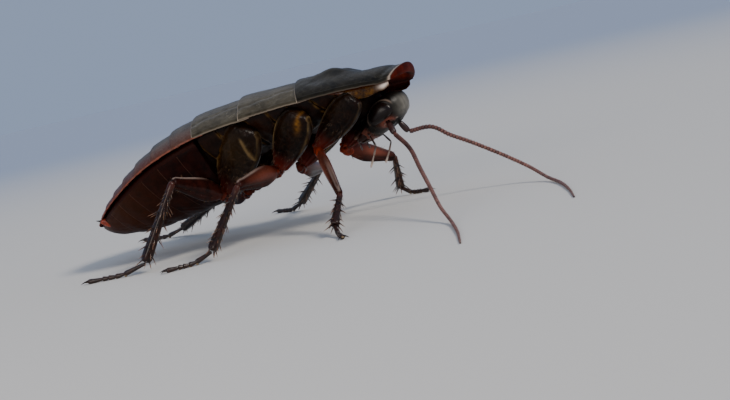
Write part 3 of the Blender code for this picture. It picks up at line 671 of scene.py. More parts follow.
def plate(name, rows, columns, size, lay, wall_edge=EDGE_ROUND):
    """A closed plate with rounded edges: a grid that is given a wall and laid on the body.

    lay(t, v, depth) places it: t runs from its front to its rear edge, v from side to side and
    depth from its outer face at 0 to its inner face at 1. Returns the piece, t, v and inner.
    """
    bpy.ops.mesh.primitive_grid_add(x_subdivisions=rows, y_subdivisions=columns, size=2)
    thing = take(name)
    bpy.ops.object.mode_set(mode="EDIT")
    bpy.ops.mesh.extrude_region_move(TRANSFORM_OT_translate={"value": (0, 0, 1)})
    bpy.ops.object.mode_set(mode="OBJECT")
    x, y, z = points_of(thing).T
    t = 0.5 - 0.5 * np.cos(np.pi * (x + 1) / 2)
    v = np.sin(np.pi / 2 * y)
    within = thing.data.attributes.new("inside", "BOOLEAN", "FACE")
    inner_faces = [z[list(face.vertices)].max() < 0.5 for face in thing.data.polygons]
    within.data.foreach_set("value", inner_faces)
    length, width = size
    from_edge = np.minimum(np.minimum(t, 1 - t) * length, (1 - np.abs(v)) * width / 2)
    rounding = np.sqrt(1 - (1 - np.clip(from_edge / wall_edge, 0, 1)) ** 2)
    move_points(thing, *lay(t, v, 0.5 + (0.5 - z) * rounding).T)
    return thing, t, v, 1 - z


# Plates of the back

def wrinkles(name, s, y, size, slant=0.0):
    """Irregular fine relief, mostly between -1 and 1: bent waves about size mm across."""
    draw = random.Random(name)
    s = s + slant * np.abs(y) + 0.5 * np.sin(0.9 * y + 0.4 * s)
    y = y + 0.6 * np.sin(0.7 * s + 1.3)
    total = np.zeros_like(s)
    for _ in range(10):
        turn = draw.uniform(-1.1, 1.1)
        pace = 2 * math.pi / (size * draw.uniform(0.6, 1.7))
        wave = np.sin(pace * (s * math.cos(turn) + y * math.sin(turn)) + draw.uniform(0, 6.3))
        total = total + wave
    return total / 3.5


def hood_relief(s, y, from_edge):
    """Two low horns, the dip in front of them, the raised front rim and faint side dents."""
    horns = 0.9 * bump(s - 12.2, 2.2) * (bump(y - 3.2, 1.7) + bump(y + 3.2, 1.7))
    dip = 0.55 * bump(s - 8.3, 2.0) * bump(y, 4.0)
    dents = 0.25 * bump(s - 14.6, 1.1) * bump(np.abs(y) - 6.3, 1.3)
    collar = 0.12 * bump(from_edge - 2.3, 0.5)
    rough = 0.018 * wrinkles("hood", s, y, 1.1) * ease(from_edge, 0.8, 2.0)
    return horns - dip - dents - collar + rough + 0.4 * bump(from_edge, 1.0)


def segment_relief(name, s, y, from_edge):
    """The sunk front strip of a segment and the slanting grooves that mark off its side lobe."""
    v = np.abs(y) / half_width(s) - 0.012 * np.sin(1.9 * from_edge) - 0.022 * from_edge
    slant = bump(v - 0.64, 0.03) - 0.6 * bump(v - 0.72, 0.05)
    crease = bump(v - 0.3, 0.03) + 0.8 * bump(v - 0.47, 0.02)
    squiggles = wrinkles(name + "_lobe", s, y, 0.55) * ease(v, 0.6, 0.75) * fade(v, 0.92, 0.98)
    rough = 0.012 * wrinkles(name, s, y, 0.9, 0.5) + 0.02 * squiggles
    return rough - 0.12 * bump(from_edge, 1.2) - 0.09 * slant - 0.03 * crease


def build_hood():
    def lay(t, v, depth):
        start = LIP + (HOOD_CORNER - LIP) * np.abs(v) ** 2.4
        s = start + (PRONOTUM_END - start) * t
        past = s - start
        wide = half_width(s) * (1 - 0.13 * np.abs(v) ** 6 * np.exp(-past / 1.2))
        y = wide * v
        outer = arch(s, v) + HEM_STEP * ease(t, 0.7, 1.0) * (1 - v ** 6) + hood_relief(s, y, past)
        bead = 0.08 * bump((1 - np.abs(v)) * wide - 0.22, 0.12)
        thick = 0.45 + 0.45 * (1 - v * v) + 0.8 * bump(past - 0.2, 1.2) * (1 - v ** 4)
        return body_points(s, y, outer + bead - thick * depth)

    hood, t, v, inner = plate("hood", 96, 130, (HOOD_LENGTH, 20.0), lay, 0.35)
    length = HOOD_LENGTH * t
    paint(hood, "lip", 0.85 * (1 - inner) * bump(length - 0.55, 0.24))
    # The deep tint is painted light: a brighter red where the hood's hollow lies in shade
    middle = fade(np.abs(v), 0.7, 0.88)
    paint(hood, "deep", inner * middle * ease(length, 1.2, 2.6) * fade(length, 7.0, 9.0))
    paint(hood, "rim", (1 - inner) * fade(length, RIM_DEPTH, RIM_DEPTH + 0.12))
    paint(hood, "lobe", 0.25 * (1 - inner) * ease(np.abs(v), 0.5, 0.7) * fade(np.abs(v), 0.93, 0.98))
    plain = 0.4 + 0.6 * ease(np.abs(v), 0.45, 0.75)
    rear = ease(length, HOOD_LENGTH - 0.18, HOOD_LENGTH - 0.05)
    paint(hood, "hem", 0.85 * plain * rear + 0.12 * ease(np.abs(v), 0.992, 1.0))
    within = hood.data.attributes["inside"].data
    for face, mark in zip(hood.data.polygons, within):
        mark.value = mark.value or length[list(face.vertices)].max() < RIM_DEPTH
    present(hood, BACK, "back_plates", "pronotum")
    line_inside(hood, LINING)


def build_segment_plates():
    for name, node_name, start, end in (("middle_back_plate", "mesonotum", PRONOTUM_END, MESONOTUM_END),
                                        ("rear_back_plate", "metanotum", MESONOTUM_END, THORAX_END)):
        front = start - TUCK

        def lay(t, v, depth):
            s = front + (end - front) * t + 0.3 * np.abs(v) ** 8 * t
            y = half_width(s) * v
            sunk = -0.35 * fade(s, front, start + 0.4) - 0.12
            step = (HEM_STEP + 0.12) * ease(t, 0.45, 1.0)
            outer = arch(s, v) + (sunk + step) * (1 - 0.8 * v ** 8)
            outer = outer + segment_relief(name, s, y, s - start)
            bead = 0.05 * bump((1 - np.abs(v)) * half_width(s) - 0.25, 0.15)
            thin = 0.3 + 0.4 * (1 - v * v)
            return body_points(s, y, outer + bead - thin * depth)

        segment, t, v, inner = plate(name, 64, 130, (end - front, 24.0), lay, 0.18)
        length = (end - front) * t
        plain = 0.4 + 0.6 * ease(np.abs(v), 0.45, 0.75)
        paint(segment, "hem", 0.85 * plain * ease(length, end - front - 0.2, end - front - 0.04)
              + 0.35 * ease(np.abs(v), 0.993, 1.0))
        lobe = ease(np.abs(v), 0.58, 0.7) * fade(np.abs(v), 0.93, 0.98)
        lobe = lobe * np.clip(0.45 + 0.5 * wrinkles(name + "_marks", 9 * t, 12 * v, 3.0), 0, 1)
        paint(segment, "lobe", 0.6 * (1 - inner) * lobe)
        # These plates' lighter olive grey is a painted sheen
        present(segment, SHEEN_PAINTED_BACK, "back_plates", node_name)
        line_inside(segment, LINING)


def build_tergites():
    """Seven overlapping plates, their rear corners drawn out a little to the rear."""
    starts = (THORAX_END,) + TERGITE_ENDS
    for number, (start, end) in enumerate(zip(starts, TERGITE_ENDS), 1):
        front = start - TUCK
        name = f"tergite_{number}"

        def lay(t, v, depth):
            s = front + (end - front) * t + 0.2 * np.abs(v) ** 10 * t
            wide = half_width(np.minimum(s, end)) + 0.06 * t
            y = wide * v
            sunk = -0.4 * fade(t, 0.0, 0.4) - 0.08
            step = (HEM_STEP + 0.05) * ease(t, 0.4, 1.0)
            outer = arch(s, v) + (sunk + step) * (1 - 0.85 * v ** 8)
            rough = 0.014 * wrinkles(name, 1.8 * s, y, 1.2)
            ledge = 0.06 * bump((end - front) * (1 - t) - 0.9, 0.2)
            return body_points(s, y, outer + rough - ledge - (0.28 + 0.2 * (1 - v * v)) * depth)

        tergite, t, v, inner = plate(name, 32, 120, (end - front, 2 * HALF_WIDTH), lay, 0.12)
        past = (end - front) * (1 - t)
        edge = (1 - np.abs(v)) * half_width(np.full_like(v, 0.5 * (start + end)))
        paint(tergite, "hem", 0.7 * fade(past, 0.04, 0.22))
        paint(tergite, "warm", (1 - inner) * fade(edge, 0.1, 4.5) * (0.25 + 0.08 * number))
        worn = np.clip(0.8 + 0.35 * wrinkles(name + "_margin", 6 * t, 0 * t, 1.5), 0.3, 1)
        paint(tergite, "side", (1 - inner) * fade(edge, 0.02, 0.12) * (0.5 + 0.06 * number) * worn)
        present(tergite, TERGITE, "abdomen", "abdomen")
        line_inside(tergite, LINING)


def build_tail_plate():
    """The last plate of the back, with a notch between its two round lobes."""
    front = TERGITE_ENDS[-1] - TUCK

    def lay(t, v, depth):
        lobes = TAIL_END + 0.5 - 1.0 * np.abs(np.abs(v) - 0.42) ** 1.5 - 0.5 * bump(v, 0.16)
        s = front + (lobes - front) * t
        wide = 0.86 * half_width(front + (TAIL_END - 0.9 - front) * t)
        outer = arch(np.minimum(s, TAIL_END), 0.86 * v) - 0.1 + 0.02 * wrinkles("tail", s, v * 4, 0.9)
        return body_points(s, wide * v, outer - 0.35 * depth)

    tail, t, v, _ = plate("tail_plate", 34, 70, (3.4, 8.0), lay, 0.15)
    paint(tail, "hem", 0.5 * ease(t, 0.96, 1.0))
    paint(tail, "side", 0.8 * ease(np.abs(v), 0.86, 1.0))
    present(tail, TERGITE, "abdomen", "abdomen")
    line_inside(tail, LINING)


# Underside and skin

def under_side(s, v, drop=0.0):
    """Points of the abdomen's underside: v = -1 and 1 at the flanks, 0 at the keel."""
    wide = half_width(s)
    turn = np.arccos(np.clip(v, -1, 1))
    flange = -0.45
    h = flange - (belly(s) + flange) * np.abs(np.sin(turn)) ** 1.5 + drop
    return body_points(s, 0.93 * wide * v, h)


def build_sternites():
    """Six overlapping, slightly pillowed plates of the underside and the boat-shaped last one."""
    ends = TERGITE_ENDS[:6] + (LINE_END - 0.25,)
    starts = (THORAX_END + 0.3,) + TERGITE_ENDS[:6]
    for number, (start, end) in enumerate(zip(starts, ends), 1):
        front = start - (0.0 if number == 1 else 1.2)
        name = f"sternite_{number}"

        def lay(t, v, depth):
            s = front + (end - front) * t
            s = s - STERNITE_BOW * (1 - v * v) * np.minimum((LINE_END - s) / REAR_BULGE_END, 1)
            s = np.maximum(s, THORAX_END + 0.2)
            pillow = 0.16 * bump(t - 0.62, 0.25) * (1 - 0.5 * v ** 8)
            rough = 0.03 * wrinkles(name, s, 12 * np.arcsin(v), 1.8)
            wall = 0.3 - 0.28 * t ** 0.7 - pillow + rough
            return under_side(s, 0.985 * v, wall + 0.35 * depth)

        sternite, t, v, _ = plate(name, 40, 110, (end - front, 30.0), lay, 0.15)
        past = (end - front) * (1 - t)
        paint(sternite, "hem", (0.5 if number < 7 else 0.2) * fade(past, 0.03, 0.2))
        paint(sternite, "tail", 0.15 * max(number - 2, 0))
        present(sternite, STERNITE, "abdomen", "abdomen")


def build_skin(name, start, end, rows, turns, ring, gold, slot, *nodes):
    """A closed bag of skin round the body line: a cylinder laid on the body's sections."""
    bpy.ops.mesh.primitive_cylinder_add(vertices=turns, radius=1, depth=2, end_fill_type="NGON")
    skin = take(name)
    bpy.ops.object.mode_set(mode="EDIT")
    bpy.ops.mesh.select_mode(type="EDGE")
    bpy.ops.mesh.select_all(action="DESELECT")
    bpy.ops.object.mode_set(mode="OBJECT")
    for edge in skin.data.edges:
        a, b = (skin.data.vertices[k].co for k in edge.vertices)
        edge.select = abs(a.z - b.z) > 1
    bpy.ops.object.mode_set(mode="EDIT")
    bpy.ops.mesh.subdivide(number_cuts=rows)
    bpy.ops.mesh.select_mode(type="VERT")
    bpy.ops.object.mode_set(mode="OBJECT")
    x, y, z = points_of(skin).T
    s = start + (end - start) * (z + 1) / 2
    points = ring(s, np.arctan2(y, x))
    move_points(skin, *points.T)
    paint(skin, "gold", gold(s, points))
    present(skin, SKIN, slot, *nodes)
    return skin


def abdomen_section(s, turn):
    """Inside the plates: the back for turns above 0, the underside below."""
    v = np.cos(turn)
    wide = half_width(s)
    folds = 0.06 * np.sin(s * 9)
    top = arch(s, v) - TERGITE_WALL - 0.25
    under = -0.5 - (belly(s) - 1.2) * np.abs(np.sin(turn)) ** 1.5
    return body_points(s, 0.92 * wide * v, np.where(turn > 0, top, under) + folds)


def thorax_section(s, turn):
    stations = np.linspace(NECK, THORAX_END, len(THORAX_DEPTHS))
    depth = THORAX_DEPTH * np.interp(s, stations, THORAX_DEPTHS)
    v = THORAX_SHARE * np.cos(turn)
    top = arch_inside(s, v) - 0.4
    edge = arch_inside(s, THORAX_SHARE) - 0.4
    under = edge - (depth + edge) * np.abs(np.sin(turn)) ** 1.1
    folds = 0.12 * np.sin(s * 3.1 + 3 * np.cos(turn * 3)) * np.abs(np.sin(turn))
    return body_points(s, half_width(s) * v, np.where(turn > 0, top, under + folds))


def build_trunk():
    skin = build_skin("abdomen_skin", THORAX_END + 0.5, LINE_END - 0.45, 90, 96, abdomen_section,
                      lambda s, p: 0.0, "abdomen", "abdomen")
    paint(skin, "red", 0.9)

    def gold(s, points):
        patch = bump(s - 18.2, 1.2) + 0.5 * bump(s - 27.0, 1.0)
        return patch * ease(np.abs(points[:, 1]), 6.0, 8.0)

    build_skin("thorax_skin", NECK + 0.1, THORAX_END - 0.1, 80, 72, thorax_section, gold,
               "trunk", "thorax")


def build_flanks():
    """Side plates of the chest above each hip: a front and a rear one, parted by a slanting seam."""
    for number, start in enumerate((NECK + 0.6, PRONOTUM_END + 0.2, MESONOTUM_END - 0.4)):
        for half, (near, far) in enumerate(((0.0, 3.6), (3.9, 7.9))):
            for side, sign in SIDES:
                def lay(t, v, depth):
                    drop = (v + 1) / 2
                    s = start + near + (far - near) * t + (1.6 - 3.4 * drop) * (1 - 0.3 * half)
                    s = np.minimum(s, THORAX_END - 0.3)
                    turn = -0.1 - 1.05 * drop
                    rim = bump(t - 0.06, 0.07) + bump(t - 0.94, 0.07) + bump(drop - 0.95, 0.06)
                    swell = 0.3 * np.sqrt(np.clip(4 * t * (1 - t), 0, 1)) + 0.12 * rim
                    swell = swell + 0.05 * wrinkles(f"flank_{number}_{half}", s, 5 * drop, 1.2)
                    out = swell + 0.15 - 0.5 * depth
                    base = thorax_section(s, turn if sign > 0 else -math.pi - turn)
                    ring = body_points(s, 0 * s, np.full_like(s, -2.0))
                    away = base - ring
                    away = away / np.linalg.norm(away, axis=-1, keepdims=True)
                    return base + away * out[:, None]

                name = f"flank_{number + 1}_{'front' if half == 0 else 'rear'}_{side}"
                flank, t, v, _ = plate(name, 26, 40, (far - near, 8.0), lay, 0.2)
                broken = 0.5 + 0.5 * wrinkles(name, 6 * t, 5 * v, 2.0)
                paint(flank, "border", (bump(t - 0.03, 0.05) + bump(t - 0.97, 0.05)) * 0.8 * broken)
                present(flank, FLANK, "trunk", "thorax")


def build_neck():
    """The soft neck from the trunk to the back of the head, and the rolled folds of the hood."""
    root = Vector(body_points(*NECK_ROOT))
    left = head_axes()[1]
    goal = head_point(*NAPE)
    neck = limb("neck", [(0.0, 5.6, 2.6), (0.2, 5.2, 2.9), (0.3, 4.6, 2.6), (0.42, 4.9, 2.9),
                         (0.55, 3.9, 2.5), (0.66, 4.0, 2.6), (0.82, 2.8, 2.0), (1.0, 2.0, 1.4)],
                (goal - root).length, 24)
    paint(neck, "gold", 0.15 * ease(np.abs(points_of(neck)[:, 0]), 3.0, 5.0))
    present(neck, SKIN, "trunk", place=axes_at(root, goal - root, left))
    for side, sign in SIDES:
        def lay(t, v, depth):
            s = FOLD_START + FOLD_LENGTH * t
            turn = math.pi * (0.5 - 0.5 * v)
            girth = 0.4 + 0.66 * np.sin(math.pi * np.clip(0.02 + 0.92 * t, 0, 1)) ** 1.3
            girth = (girth + 0.16 * bump(t - 0.09, 0.07)) * (1 - 0.65 * ease(t, 0.6, 0.95))
            girth = girth * (1 - 0.3 * depth) * (1 + 0.05 * np.sin(11 * t + 2 * v))
            y = sign * (half_width(s) - 1.0 + 0.5 * girth * np.sin(turn))
            h = 0.45 - girth * (1 - np.cos(turn))
            return body_points(s, y, h)

        fold, t, v, inner = plate("hood_fold_" + side, 44, 24, (FOLD_LENGTH, 2.4), lay, 0.2)
        front = bump(t - 0.08, 0.085)
        dark = np.maximum(ease(v, 0.2, 0.7), 0.7 * ease(t, 0.6, 1.0)) * (1 - front)
        paint(fold, "inner", np.maximum(inner, dark))
        # Pale: a painted highlight on the fold's front end
        paint(fold, "pale", 0.95 * (1 - inner) * front * bump(v - 0.08, 0.45))
        present(fold, FOLD, "trunk")


# Head

def head_axes():
    """Crown, left and face directions of the head."""
    turn = (Matrix.Rotation(HEAD_YAW, 3, "Z") @ Matrix.Rotation(-BODY_ROLL, 3, "X")
            @ Matrix.Rotation(-HEAD_PITCH, 3, "Y"))
    return turn @ Vector((1, 0, 0)), turn @ Vector((0, 1, 0)), turn @ Vector((0, 0, -1))


def head_point(a, y, f):
    crown, left, face = head_axes()
    return HEAD_CENTRE + crown * a + left * y + face * f


def head_placing():
    """Takes x, y, z of a piece modelled on the head to the crown, left and face directions."""
    crown, left, face = head_axes()
    return Matrix.Translation(HEAD_CENTRE) @ Matrix((crown, left, face)).transposed().to_4x4()


def build_skull(hair):
    """The head capsule: a ball drawn to the head's sections, with its sutures and sockets."""
    bpy.ops.mesh.primitive_uv_sphere_add(segments=160, ring_count=120, radius=1)
    skull = take("skull")
    x, y, z = points_of(skull).T
    along, wide, thick = np.array(HEAD_SECTIONS).T
    a = HEAD_SECTIONS[-1][0] * np.clip(z, -1, 1)
    half = np.sqrt(np.interp(a, along, wide ** 2))
    deep = np.sqrt(np.interp(a, along, thick ** 2))
    turn = np.arctan2(y, x)
    side = np.cos(turn)
    out = np.sin(turn)
    side = np.sign(side) * np.abs(side) ** 0.92
    out = np.sign(out) * np.abs(out) ** 0.92
    across = half * side
    front = out > 0
    flat = np.where(front, 0.0, 0.12 * deep * bump(side, 0.6))
    sockets = np.hypot(a - SOCKET[0], np.abs(across) - SOCKET[1])
    ocelli = np.hypot((a - OCELLUS[0]) * 1.2, np.abs(across) - OCELLUS[1])
    seam = bump(a + 2.2 + 0.12 * across ** 2, 0.09) * (np.abs(across) < 2.3)
    stem = bump(across, 0.07) * ease(a, 2.6, 3.4)
    fork = bump(np.abs(across) - 0.75 * np.clip(2.9 - a, 0, 3), 0.08)
    fork = fork * ease(a, 1.6, 2.0) * ease(-a, -3.1, -2.7)
    clypeus = 0.1 * ease(-a, 2.3, 2.7) * ease(-np.abs(across), -1.9, -1.5)
    ring = 0.2 * bump(sockets - 1.0, 0.22) - 0.45 * bump(sockets, 0.7)
    relief = ring - 0.07 * seam - 0.04 * stem - 0.04 * fork + clypeus + 0.06 * bump(ocelli, 0.3)
    face = (deep - flat) * out + np.where(front, relief, 0.0)
    temple = np.hypot((a - EYE_CENTRE[0]) / 2.5, (face - EYE_CENTRE[2]) / 1.8)
    across = across + np.sign(across) * 0.12 * bump(temple - 1.0, 0.12) * (np.abs(across) > 2)
    move_points(skull, a, across, face)
    near_mouth = ease(-a, 2.4, 3.4)
    beside = ease(np.abs(across), 1.3, 2.0)
    paint(skull, "brown", front * (0.4 * near_mouth + 0.95 * bump(sockets - 0.5, 0.75) * beside))
    behind = ease(EYE_CENTRE[2] - face, -0.5, 0.6)
    # Pale paint: the ocelli and the seam in their own pale colour, a painted highlight along the ridge
    # behind each eye and a painted glint at each feeler's socket
    eye_rim_highlight = 0.35 * bump(temple - 1.05, 0.05) * (np.abs(across) > 2) * behind
    glint = bump(np.hypot(a - SOCKET[0] + 0.7, np.abs(across) - SOCKET[1] - 0.3), 0.2)
    paint(skull, "pale", front * (0.7 * bump(ocelli, 0.3) ** 2 + 0.6 * glint + 0.1 * seam) + eye_rim_highlight)
    # Bloom: a broad, mottled pale grey painted highlight on the upper front of the crown
    crown_highlight_mottle = np.clip(0.85 + 0.12 * wrinkles("bloom", 0.5 * a, across, 0.6), 0, 1)
    upper = ease(a, 2.0, 3.8) * ease(face, -0.6, 1.0) * bump(np.abs(across) - 0.8, 1.6)
    paint(skull, "bloom", 0.66 * crown_highlight_mottle * upper)
    close_up(skull)
    low = (a < -0.5) & front & (np.abs(across) > 0.3)
    place = head_placing()
    fur("face_hairs", skull, hair, FACE_HAIRS, (0.2, 0.45), (-1, 0, 0.2), "head", place, low)
    top = front & (a > 0)
    fur("crown_hairs", skull, hair, CROWN_HAIRS, (0.12, 0.25), (-1, 0, 0.4), "head", place, top)
    install(skull, FACE, "head", "head", place=place)


def build_eyes():
    """Kidney-shaped compound eyes, bent round the feelers' sockets."""
    for side, sign in SIDES:
        bpy.ops.mesh.primitive_uv_sphere_add(segments=72, ring_count=48, radius=1)
        eye = take("compound_eye_" + side)
        x, y, z = points_of(eye).T
        a, out, f = z, x, y
        narrow = 1 + 0.22 * a
        bend = 0.5 * a ** 2 - 0.28
        move_points(eye, EYE_CENTRE[0] + EYE_RADII[0] * a, sign * (EYE_CENTRE[1] + EYE_RADII[1] * out),
                    EYE_CENTRE[2] + EYE_RADII[2] * (f * narrow + bend * 0.6))
        present(eye, EYE, "eyes", "eye_" + side, place=head_placing())


def put_in_order(mesh):
    """Sorts the points and faces, which extruding leaves in any order, so that each run of the
    script draws its hairs on the same points.
    """
    places = [tuple(vertex.co) for vertex in mesh.vertices]
    order = sorted(range(len(places)), key=places.__getitem__)
    rank = {old: new for new, old in enumerate(order)}
    faces = []
    for face in mesh.polygons:
        corners = [rank[k] for k in face.vertices]
        first = corners.index(min(corners))
        faces.append(corners[first:] + corners[:first])
    mesh.clear_geometry()
    mesh.from_pydata([places[k] for k in order], [], sorted(faces))


def limb(name, sections, length, sides=16, levels=2):
    """A limb joint modelled upright: a disc that is extruded from section to section.

    A section is its share of the length, half width along x, half depth along y and, where it
    leans, its shift along x.
    """
    rows = [(share * length, wide, deep, shift[0] if shift else 0.0)
            for share, wide, deep, *shift in sections]
    z, wide, deep, shift = rows[0]
    bpy.ops.mesh.primitive_circle_add(vertices=sides, radius=1, fill_type="NGON")
    thing = take(name)
    bpy.ops.object.mode_set(mode="EDIT")
    bpy.ops.transform.resize(value=(wide, deep, 1))
    bpy.ops.transform.translate(value=(shift, 0, z))
    for (z, wide, deep, shift), (to_z, to_wide, to_deep, to_shift) in zip(rows, rows[1:]):
        step = (to_shift - shift, 0, to_z - z)
        bpy.ops.mesh.extrude_region_move(TRANSFORM_OT_translate={"value": step})
        bpy.ops.transform.resize(value=(to_wide / wide, to_deep / deep, 1),
                                 center_override=(to_shift, 0, to_z))
    bpy.ops.object.mode_set(mode="OBJECT")
    put_in_order(thing.data)
    soften(thing, levels)
    return thing


def rod(name, sections, length, sides=16, levels=2):
    """A limb joint of round sections, each with one radius."""
    full = [(share, radius, radius, *shift) for share, radius, *shift in sections]
    return limb(name, full, length, sides, levels)


def build_mouth():
    """Upper lip, jaws, the soft inner lobes and the lower lip."""
    lip = limb("upper_lip", [(0.0, 1.25, 0.34), (0.12, 1.4, 0.42), (0.5, 1.42, 0.4), (0.85, 1.15, 0.3),
                             (1.0, 0.8, 0.16)], 1.9, 20)
    x, y, z = points_of(lip).T
    notch = 0.22 * bump(x, 0.3) * ease(z, 1.2, 1.9)
    move_points(lip, x, y + 0.12 * x * x, z - notch)
    paint(lip, "pale", 0.6 * ease(z, 1.45, 1.8))
    root = head_point(-3.95, 0.0, 1.15)
    crown, left, face = head_axes()
    present(lip, MOUTH, "head", place=axes_at(root, -crown - face * 0.28, left))
    for side, sign in SIDES:
        jaw = limb("jaw_" + side, [(0.0, 0.75, 0.8), (0.3, 0.95, 0.85), (0.6, 0.8, 0.6, -0.15),
                                   (0.85, 0.5, 0.35, -0.5), (1.0, 0.16, 0.14, -0.85)], 2.6, 14)
        present(jaw, MOUTH, "head",
                place=axes_at(head_point(-3.5, sign * 1.35, 0.35), -crown, left * sign))
        lobe = limb("inner_lobe_" + side, [(0.0, 0.55, 0.6), (0.25, 0.72, 0.66), (0.55, 0.5, 0.5),
                                           (0.62, 0.56, 0.52), (0.9, 0.38, 0.36), (1.0, 0.12, 0.12)],
                    3.3, 12)
        paint(lobe, "pale", 0.7 * ease(points_of(lobe)[:, 2], 1.9, 3.0))
        present(lobe, MOUTH, "head",
                place=axes_at(head_point(-2.9, sign * 1.75, -0.45), -crown - left * sign * 0.2, left))
    lower = limb("lower_lip", [(0.0, 1.3, 0.3), (0.1, 1.45, 0.42), (0.5, 1.2, 0.42), (0.6, 1.0, 0.36),
                               (0.9, 0.9, 0.34), (1.0, 0.6, 0.15)], 3.4, 18)
    x, y, z = points_of(lower).T
    split = 0.3 * bump(x, 0.14) * ease(z, 2.3, 3.2)
    move_points(lower, x, y * (1 - split), z - split)
    paint(lower, "pale", 0.5 * ease(z, 2.4, 3.2))
    present(lower, MOUTH, "head",
            place=axes_at(head_point(-2.4, 0.0, -1.35), -crown + face * 0.12, left))


def build_palp(name, place, steps, joints, sign, width, pale):
    """A jointed palp along its route, each joint a club that widens to its end."""
    a, y, f = place
    root = head_point(a, sign * y, f)
    route = Route([root] + [root + Vector((x, sign * y, z)) for x, y, z in steps])
    parts = []
    start = 0.0
    for number, share in enumerate(joints):
        last = number == len(joints) - 1
        end = start + share
        begin, finish = Vector(route.at(start * route.length)), Vector(route.at(end * route.length))
        reach = (finish - begin).length
        tip = [(0.85, width * 1.15, width), (1.0, width * 0.7, width * 0.6)]
        if last:
            tip = [(0.6, width * 1.35, width), (0.85, width * 1.3, width * 0.9),
                   (1.0, width * 0.6, width * 0.5)]
        sections = [(-0.03, width * 0.5, width * 0.5), (0.05, width * 0.7, width * 0.66),
                    (0.4, width * 0.85, width * 0.8)] + tip
        part = limb(f"{name}_{number}", sections, reach, 10)
        z = points_of(part)[:, 2] / reach
        before_last = number == len(joints) - 2
        paint(part, "tip", pale * (0.45 + 0.55 * ease(z, 0.3, 0.8)) if last else
              pale * (0.4 * ease(z, 0.9, 1.0) + 0.3 * before_last * ease(z, 0.0, 0.8)))
        close_up(part)
        settle(part, axes_at(begin, finish - begin, (0, 1, 0)))
        parts.append(part)
        start = end
    return joined(name, parts)


def build_palps():
    for side, sign in SIDES:
        palp = build_palp("long_palp_" + side, *MAXILLARY_PALP, (0.08, 0.1, 0.3, 0.24, 0.28), sign, 0.2,
                          1.0)
        dress(palp, PALP, "palps", "maxillary_palp_" + side)
        palp = build_palp("short_palp_" + side, *LABIAL_PALP, (0.2, 0.35, 0.45), sign, 0.18, 0.1)
        dress(palp, PALP, "palps", "labial_palp_" + side)


# Feelers

def build_feelers():
    bead = rod("feeler_ring", [(0.0, 0.62), (0.1, 0.86), (0.5, 0.97), (0.88, 1.0), (1.0, 0.66)],
               1.0, 10, 1)
    close_up(bead)
    hair = rod("feeler_hair", [(0.0, 0.018), (0.5, 0.013), (1.0, 0.004, 0.06)], 1.0, 4, 0)
    close_up(hair)
    draw = random.Random("feelers")
    for side, sign in SIDES:
        root = head_point(SCAPE_ROOT[0], sign * SCAPE_ROOT[1], SCAPE_ROOT[2])
        elbow = head_point(SCAPE_TIP[0], sign * SCAPE_TIP[1], SCAPE_TIP[2])
        reach = (elbow - root).length
        scape = rod("feeler_root_" + side, [(0.02, 0.3), (0.12, 0.4), (0.2, 0.34), (0.3, 0.46),
                                            (0.6, 0.56), (0.88, 0.54), (1.0, 0.34)], reach)
        z = points_of(scape)[:, 2] / reach
        paint(scape, "joint", 0.75 + 0.25 * bump(z - 0.22, 0.08))
        present(scape, FEELER, "antennae", f"antenna_{side}_scape",
                place=axes_at(root, elbow - root, (0, 0, 1)))
        route = Route((elbow,) + ANTENNA_ROUTES[side])
        placings = []
        hairs = []
        distance = 0.05
        while distance < route.length - 0.1:
            share = distance / route.length
            radius = np.interp(share, np.linspace(0, 1, len(ANTENNA_RADII)), ANTENNA_RADII)
            pitch = RING if placings else ROOT_RING
            pitch = pitch if distance > 2 else pitch * 0.8
            centre = Vector(route.at(distance))
            direction = Vector(route.direction(distance + pitch / 2))
            centre.z = max(centre.z, radius)
            size = (radius, radius, pitch * 1.06)
            placings.append(axes_at(centre, direction, (0, 0, 1), size))
            for k in range(RING_HAIRS):
                turn = math.radians(360 / RING_HAIRS * k + draw.uniform(-25, 25))
                turn = Matrix.Rotation(turn, 4, direction)
                out = turn.to_3x3() @ direction.orthogonal().normalized()
                lean = (out + direction * draw.uniform(0.8, 1.6)).normalized()
                foot = centre + direction * pitch * draw.uniform(0.5, 0.9) + out * radius * 0.85
                long = draw.uniform(0.14, 0.26)
                if (foot + lean * long).z > 0.02:
                    hairs.append(axes_at(foot, lean, direction, (1, 1, long)))
            distance += pitch
        z = points_of(bead)[:, 2]
        feeler = many("feeler_" + side, bead, placings, "joint", bump(np.minimum(z, 1 - z), 0.13))
        count = len(placings)
        bands = [draw.uniform(0.3, 1.0) for _ in range(count)]
        reach = ease(np.arange(count) / count, 0.02, 0.4) * bands
        paint(feeler, "far", np.repeat(reach, len(z)))
        install(feeler, FEELER, "antennae", f"antenna_{side}_base", f"antenna_{side}_middle",
                f"antenna_{side}_tip")
        down = many("feeler_hairs_" + side, hair, hairs)
        install(down, BRISTLE, "antennae")
    for master in (bead, hair):
        bpy.data.objects.remove(master)


